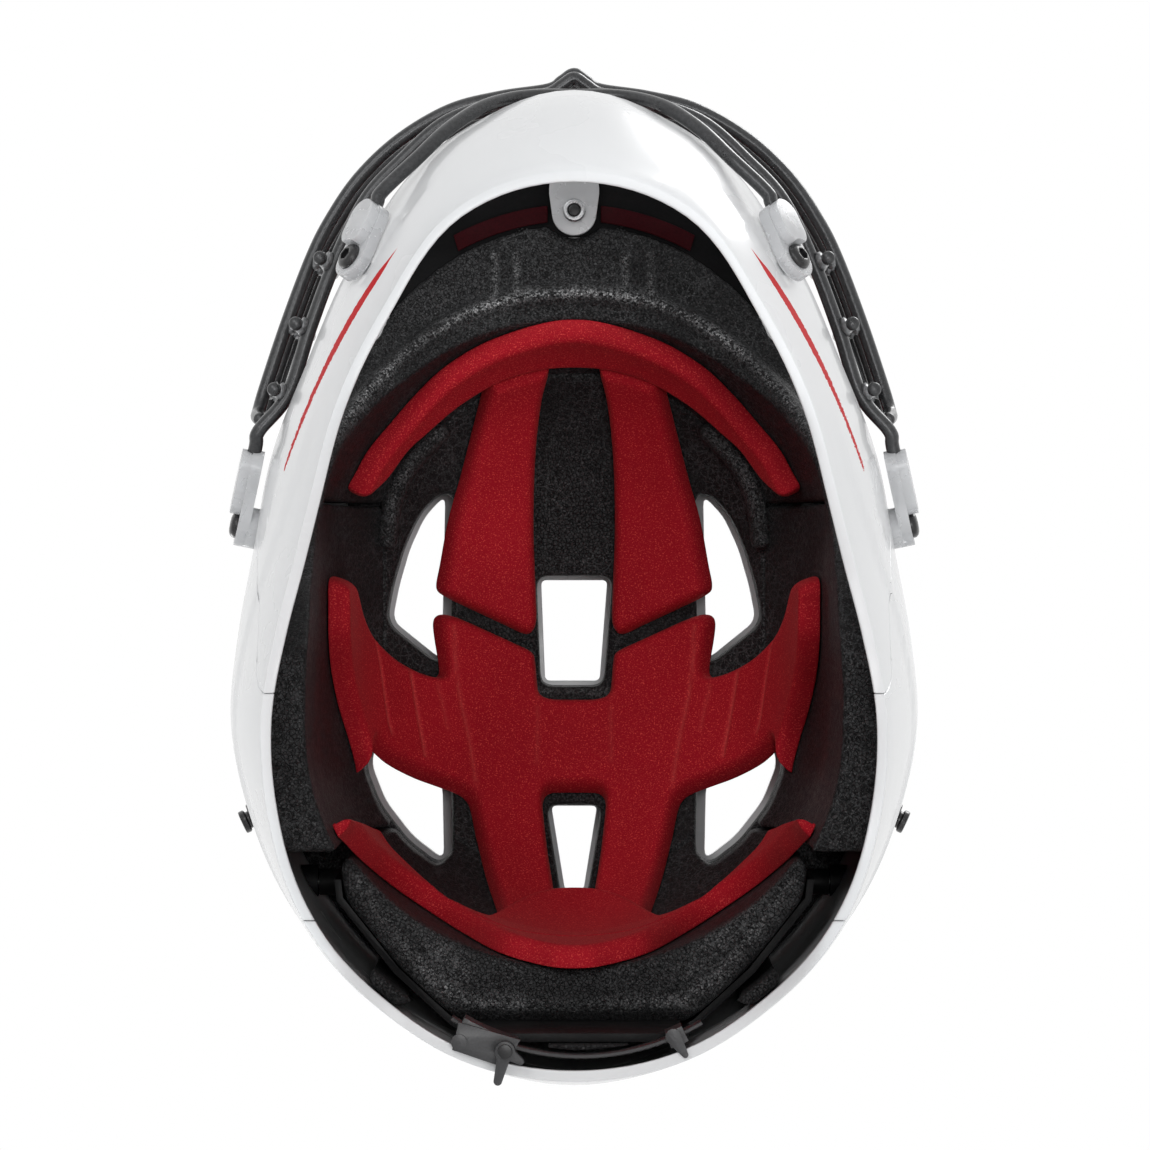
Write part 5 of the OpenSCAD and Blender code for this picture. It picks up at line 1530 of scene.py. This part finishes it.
NAPE_LINE = (
    (478, 921, 6), (500, 931, 6), (528, 938, 6), (574, 942, 6), (620, 938, 6), (648, 931, 6), (670, 921, 6),
)


class HELMET_OT_pads(bpy.types.Operator):
    """Makes the red comfort pads and lets them swell"""
    bl_idname = "helmet.make_pads"
    bl_label = "Make comfort pads"

    def execute(self, context):
        make_finishes()
        rim = [(p[0], p[1] + 9.5, 6) for p in FRONT_HALF[1:8]]
        front = pad_sheet("front_band", [*FRONT_HALF, *flipped(FRONT_HALF[1:])],
                          [[*reversed(rim), (574, 333, 6), *flipped(list(reversed(rim)))]], (0.45,))
        strips = [pad_sheet("crown_strip_right", CROWN_HALF),
                  pad_sheet("crown_strip_left", flipped(CROWN_HALF))]
        centre = pad_sheet("centre_pad_soft", [*CENTRE_HALF, *flipped(CENTRE_HALF[1:])],
                           [*CENTRE_LINES, *(flipped(line) for line in CENTRE_LINES)],
                           (0.7, 0.7, 0.35, 0.55, 0.3) * 2, shoulder=3.4)
        nape = pad_sheet("nape_band", [*NAPE_HALF, *flipped(NAPE_HALF[1:])], (NAPE_LINE,), (1.8,),
                         lean=0.075, worn=0.0)
        every = [front, *strips, centre, nape]
        swell(every)
        pads = (
            (front, "helmet", "front_pad"), (strips[0], "helmet", "crown_pad_right"),
            (strips[1], "helmet", "crown_pad_left"),
            (centre, "helmet", "centre_pad", "side_pad_left", "side_pad_right"), (nape, "nape", "nape_pad"),
        )
        for obj, body, *spares in pads:
            m = obj.modifiers.new("Fine", "SUBSURF")
            m.levels = m.render_levels = 1
            settle(obj)
            obj.vertex_groups.clear()
            obj.data.shade_smooth()
            finish_piece(obj, body, "pad_red", "pad", *spares)
        return {"FINISHED"}


# ---------------------------------------------------------------- wire guard

# A rod's way out and its run on the left side, and how far a lapped bar's weld stands from the rod's middle
ROD_OUT, ROD_RUN, LAP = (0.943, -0.333, 0), (0.333, 0.943, 0), 2.45
INNER_BAR_Z, OUTER_BARS_Z = 92.6, (118.3, 148, 172)


class HELMET_OT_guard(bpy.types.Operator):
    """Makes the bars, the side rods and their welds"""
    bl_idname = "helmet.make_guard"
    bl_label = "Make wire guard"

    def execute(self, context):
        make_finishes()
        r = settings().wire_width * 1000 / 2
        for name, half in WIRES.items():
            line = [(-x, y, z) for x, y, z in reversed(half[1:])] + list(half)
            bar = shade(tube(f"{name}_wire", smooth_line(line, 8), r, 24), 60)
            finish_piece(bar, "helmet", "cage_wire", "wire", name)
        for side, word in SIDE_WORDS:
            rods = [tube("rod", [(side * x, y, z) for z in np.linspace(88.3, 175.7, 12)], r, 24)
                    for x, y in ROD_AT]
            rods = shade(merged(f"side_rods_{word}_wire", rods), 60)
            finish_piece(rods, "helmet", "cage_wire", "wire", f"side_rods_{word}")
        self.welds()
        return {"FINISHED"}

    def welds(self):
        """A bead where each rod crosses a bar."""
        spots = []
        for side in SIDES:
            for x, y in ROD_AT:
                out, run = (Vector((side * v[0], v[1], v[2])) for v in (ROD_OUT, ROD_RUN))
                rod = Vector((side * x, y, 0))
                spots.append((rod - out * LAP + Vector((0, 0, INNER_BAR_Z)), out, run))
                spots += [(rod + out * LAP + Vector((0, 0, z)), out, run) for z in OUTER_BARS_Z]
        blob = new_object("weld_blob", *blob_shape())
        blob.data.shade_smooth()
        welds = point_object("weld_beads", spots)
        grow_tree(welds, repeat_tree("Weld Beads"), {"Part": blob, "Size": 1.3, "Finish": FINISHES["weld"]})
        bpy.data.objects.remove(blob)
        finish_piece(welds, "helmet", "cage_wire", "weld")


def blob_shape():
    """A rough oval bead, wider along its run, as a weld leaves."""
    steps, rows = 16, 9
    points, faces = [], []
    for j in range(rows):
        b = math.pi * (j + 0.5) / rows
        for i in range(steps):
            a = 2 * math.pi * i / steps
            k = 1 + 0.08 * math.sin(3 * a + 2 * j) + 0.05 * math.cos(5 * a - j)
            points.append((2.6 * k * math.sin(b) * math.cos(a), 3.1 * k * math.sin(b) * math.sin(a),
                           1.35 * math.cos(b)))
    for j in range(rows - 1):
        for i in range(steps):
            k = (i + 1) % steps
            faces.append((j * steps + i, (j + 1) * steps + i, (j + 1) * steps + k, j * steps + k))
    faces.append(tuple(range(steps)))
    faces.append(tuple(reversed(range((rows - 1) * steps, rows * steps))))
    return points, faces


# ---------------------------------------------------------------- clips and fasteners

def mirrored_spots(point, out, along, lift):
    """One spot on each side, with its facing and run."""
    spots = []
    for side in SIDES:
        flip = np.array([side, 1, 1])
        where = np.array(point) + np.array(out) * lift
        spots.append((where * flip, np.array(out) * flip, np.array(along) * flip))
    return spots


class HELMET_OT_clips(bpy.types.Operator):
    """Makes the milky clips, their screws and nuts and the brow clip"""
    bl_idname = "helmet.make_clips"
    bl_label = "Make clips and screws"

    def execute(self, context):
        make_finishes()
        for n in ("chin_clip_left", "chin_clip_right", "side_clip_left", "side_clip_right", "brow_clip"):
            clip = softened(n, f"{n}_soft", 1.5 if n != "brow_clip" else 0.6, 30, 5)
            finish_piece(clip, "helmet", "clip_milky", "clip", n)
        r, h = 4.6, 2.4
        head = lathe("screw_part", (
            (2.4, -11.5), (2.4, 0), (r, 0), (r, 0.5), (r * 0.97, 1.1), (r * 0.86, 1.75), (r * 0.66, 2.25),
            (2.3, h), (1.95, h - 0.1), (1.9, 0.9), (0.9, 0.7)), 48, hexed=(8, 9))
        shade(head, 40)
        spots = mirrored_spots(CHIN_SCREW, CHIN_OUT, CHIN_ALONG, 4.35)
        spots += mirrored_spots(SIDE_SCREW, SIDE_OUT, SIDE_ALONG, 7.75)
        screws = point_object("clip_screw_set", spots)
        grow_tree(screws, repeat_tree("Screws On Points"), {"Part": head, "Finish": FINISHES["black"]})
        finish_piece(screws, "helmet", "hardware_black", "black", "clip_screws")
        bpy.data.objects.remove(head)
        for n, finish, width in (("clip_nuts", "clip", 0.35), ("brow_screw", "black", 0.3),
                                 ("stud_backs", "steel", 0.25)):
            finish_piece(softened(n, f"{n}_soft", width), "helmet", "hardware_black", finish, n)
        self.brow_nut()
        return {"FINISHED"}

    def brow_nut(self):
        """The bright ring nut under the brow clip, with its six-sided socket."""
        nut = lathe("brow_ring_nut", (
            (2.2, 0), (4.2, 0), (4.2, -0.9), (3.7, -1.5), (3.0, -1.65), (2.5, -1.5), (2.2, -0.6), (1.4, 0.6)),
            48, hexed=(6, 7))
        # Under the visor, the strip and the clip, with a small gap
        top = BROW_SCREW[2] - VISOR_THICK - 2.6 - 4.0 - 0.05
        face_out(lifted(nut, 0, BROW_SCREW[1], top))
        finish_piece(shade(nut, 35), "helmet", "hardware_steel", "steel", "brow_nut")


class HELMET_OT_studs(bpy.types.Operator):
    """Makes the two snap studs"""
    bl_idname = "helmet.make_studs"
    bl_label = "Make snap studs"

    def execute(self, context):
        make_finishes()
        for side, word in SIDE_WORDS:
            stud = lathe(f"snap_stud_{word}_turned", (
                (2.0, -4.4), (2.0, 0), (4.9, 0), (5.2, 0.3), (5.2, 1.0), (4.9, 1.3), (3.4, 1.4), (3.0, 1.7),
                (3.0, 2.4), (3.6, 2.6), (4.0, 3.0), (4.0, 4.3), (3.8, 4.65), (3.2, 4.8), (2.1, 4.75),
                (1.9, 4.4), (1.7, 3.9), (0.8, 3.8)), 48)
            face_out(placed(stud, seat_matrix(STUD_AT, STUD_OUT, side, 0.3)))
            finish_piece(shade(stud, 35), "helmet", "hardware_black", "black", f"snap_stud_{word}")
        return {"FINISHED"}


# ---------------------------------------------------------------- rear adjuster

# The strap's arc seen from above, its height and width, and where it starts and ends in degrees
STRAP_CENTRE, STRAP_R, STRAP_Z, STRAP_W = (2.0, 80.4), 77.5, 15.5, 9.0
STRAP_FROM, STRAP_TO = -33, 31


def strap_point(a, r, z):
    """A point at an angle round the strap's arc."""
    b = math.radians(a)
    return (STRAP_CENTRE[0] + r * math.sin(b), STRAP_CENTRE[1] + r * math.cos(b), z)


class HELMET_OT_adjuster(bpy.types.Operator):
    """Makes the nape carrier, the ladder strap with its teeth, the latch and its lever"""
    bl_idname = "helmet.make_adjuster"
    bl_label = "Make rear adjuster"

    def execute(self, context):
        make_finishes()
        self.strap()
        for n, body, slot, finish, width in (
                ("nape_carrier", "nape", "carrier_black", "carrier", 0.5),
                ("nape_anchors", "helmet", "carrier_black", "carrier", 0.4),
                ("pivot_pins", "helmet", "hardware_steel", "steel", 0.2),
                ("latch_body", "nape", "adjuster_grey", "grey", 0.45),
                ("strap_keeper", "nape", "adjuster_grey", "grey", 0.4),
                ("latch_lever", "lever", "adjuster_grey", "grey", 0.4),
                ("lever_pin", "nape", "hardware_steel", "black", 0.2)):
            finish_piece(softened(n, f"{n}_soft", width), body, slot, finish, n)
        return {"FINISHED"}

    def strap(self):
        """A thin band with a row of teeth on its outer face."""
        rings = []
        for a in np.linspace(STRAP_FROM, STRAP_TO, 120):
            rings.append([strap_point(a, STRAP_R + r, STRAP_Z + z) for r, z in (
                (-0.7, 0.4), (-0.4, 0), (0.4, 0), (0.7, 0.4), (0.7, 8.6), (0.4, 9), (-0.4, 9), (-0.7, 8.6))])
        band = shade(loft("band", rings), 50)
        turn = math.degrees(settings().tooth_pitch * 1000 / STRAP_R)
        spots = []
        for i in range(1, int((STRAP_TO - STRAP_FROM) / turn) - 1):
            a = STRAP_FROM + (i + 0.5) * turn
            b = math.radians(a)
            spots.append((strap_point(a, STRAP_R + 0.7, STRAP_Z + STRAP_W / 2),
                          (math.sin(b), math.cos(b), 0), (math.cos(b), -math.sin(b), 0)))
        tooth = loft("tooth_part", [
            [(-x, -y, z), (x, -y, z), (x, y, z), (-x, y, z)]
            for x, y, z in ((0.75, 2.5, -0.2), (0.6, 2.4, 0.2), (0.35, 2.1, 0.34))])
        teeth = point_object("teeth", spots)
        grow_tree(teeth, repeat_tree("Strap Teeth"), {"Part": tooth, "Finish": FINISHES["strap"]})
        bpy.data.objects.remove(tooth)
        strap = merged("ladder_strap_toothed", [band, teeth])
        finish_piece(strap, "strap", "adjuster_grey", "strap", "ladder_strap")


# ---------------------------------------------------------------- stage

SENSOR = 36.0
LAMPS = (
    ("lamp_low_front", 4.9, 0.5, (-0.55, -0.75, -1.3)), ("lamp_low_rear", 4.0, 0.6, (0.6, 0.6, -1.35)),
    ("lamp_low_middle", 4.6, 0.35, (0.1, -0.12, -1.5)),
    ("lamp_high_front", 14.0, 0.9, (0.9, -1.3, 1.3)), ("lamp_high_rear", 10.0, 0.9, (-1.1, 1.1, 1.4)),
)


class HELMET_OT_stage(bpy.types.Operator):
    """Sets the camera, the lamps, the pale floor and the white surroundings"""
    bl_idname = "helmet.make_stage"
    bl_label = "Make stage"

    def execute(self, context):
        scene = bpy.context.scene
        scene.view_settings.view_transform = "Standard"
        data = bpy.data.cameras.new("view")
        data.sensor_width = SENSOR
        data.lens = SENSOR * EYE_DROP / (PICTURE_PX * PIXEL)
        camera = bpy.data.objects.new("view", data)
        camera.location = (0.0003, 0.0, -EYE_DROP * MM)
        camera.rotation_euler = (math.pi, 0, 0)
        scene.collection.objects.link(camera)
        scene.camera = camera
        for name, energy, size, where in LAMPS:
            lamp = bpy.data.lights.new(name, "AREA")
            lamp.energy, lamp.size = energy, size
            obj = bpy.data.objects.new(name, lamp)
            obj.location = where
            obj.rotation_euler = (Vector((0, 0, 0.1)) - Vector(where)).to_track_quat("-Z", "Y").to_euler()
            scene.collection.objects.link(obj)
        self.world(scene)
        self.floor()
        return {"FINISHED"}

    def world(self, scene):
        """White to the camera and in reflections, and softer as a light."""
        world = bpy.data.worlds.new("white_room")
        world.use_nodes = True
        tree = world.node_tree
        tree.nodes.clear()
        rays = node(tree, "ShaderNodeLightPath")
        seen = math_node(tree, "MAXIMUM", rays.outputs["Is Camera Ray"], rays.outputs["Is Transmission Ray"])
        seen = math_node(tree, "MAXIMUM", seen, rays.outputs["Is Glossy Ray"])
        strength = ranged(tree, seen, 0.5, 1.0)
        back = node(tree, "ShaderNodeBackground", {"Color": (1, 1, 1, 1), "Strength": strength})
        node(tree, "ShaderNodeOutputWorld", {"Surface": back.outputs[0]})
        scene.world = world

    def floor(self):
        """A pale floor that shows from above only, so that the view from below stays open."""
        reach = 30.0 / MM
        floor = new_object("floor", [(-reach, -reach, -0.5), (reach, -reach, -0.5), (reach, reach, -0.5),
                                     (-reach, reach, -0.5)], [(0, 1, 2, 3)])
        mat = bpy.data.materials.new("pale_floor")
        mat.use_nodes = True
        tree = mat.node_tree
        tree.nodes.clear()
        shape = node(tree, "ShaderNodeNewGeometry")
        rays = node(tree, "ShaderNodeLightPath")
        open_side = math_node(tree, "MAXIMUM", shape.outputs["Backfacing"], rays.outputs["Is Shadow Ray"])
        paint = node(tree, "ShaderNodeBsdfDiffuse", {"Color": (0.86, 0.86, 0.86, 1)})
        clear = node(tree, "ShaderNodeBsdfTransparent")
        both = node(tree, "ShaderNodeMixShader", {0: open_side, 1: paint.outputs[0], 2: clear.outputs[0]})
        node(tree, "ShaderNodeOutputMaterial", {"Surface": both.outputs[0]})
        floor.data.materials.append(mat)


class HELMET_PT_panel(bpy.types.Panel):
    """Lists the helmet's steps and sizes"""
    bl_idname = "HELMET_PT_panel"
    bl_label = "Helmet"
    bl_space_type = "VIEW_3D"
    bl_region_type = "UI"
    bl_category = "Helmet"

    def draw(self, context):
        for step in STEPS:
            self.layout.operator(step.bl_idname)
        for key in HelmetSettings.__annotations__:
            self.layout.prop(context.scene.helmet_settings, key)


STEPS = (
    HELMET_OT_stage, HELMET_OT_shells, HELMET_OT_visor, HELMET_OT_liner, HELMET_OT_dots, HELMET_OT_pads,
    HELMET_OT_guard, HELMET_OT_clips, HELMET_OT_studs, HELMET_OT_adjuster,
)


def register():
    for cls in (HelmetSettings, *STEPS, HELMET_PT_panel):
        bpy.utils.register_class(cls)
    bpy.types.Scene.helmet_settings = bpy.props.PointerProperty(type=HelmetSettings)


def unregister():
    del bpy.types.Scene.helmet_settings
    for cls in (HELMET_PT_panel, *reversed(STEPS), HelmetSettings):
        bpy.utils.unregister_class(cls)


def main():
    register()
    for step in STEPS:
        group_name, word = step.bl_idname.split(".")
        getattr(getattr(bpy.ops, group_name), word)()


if __name__ == "__main__":
    main()
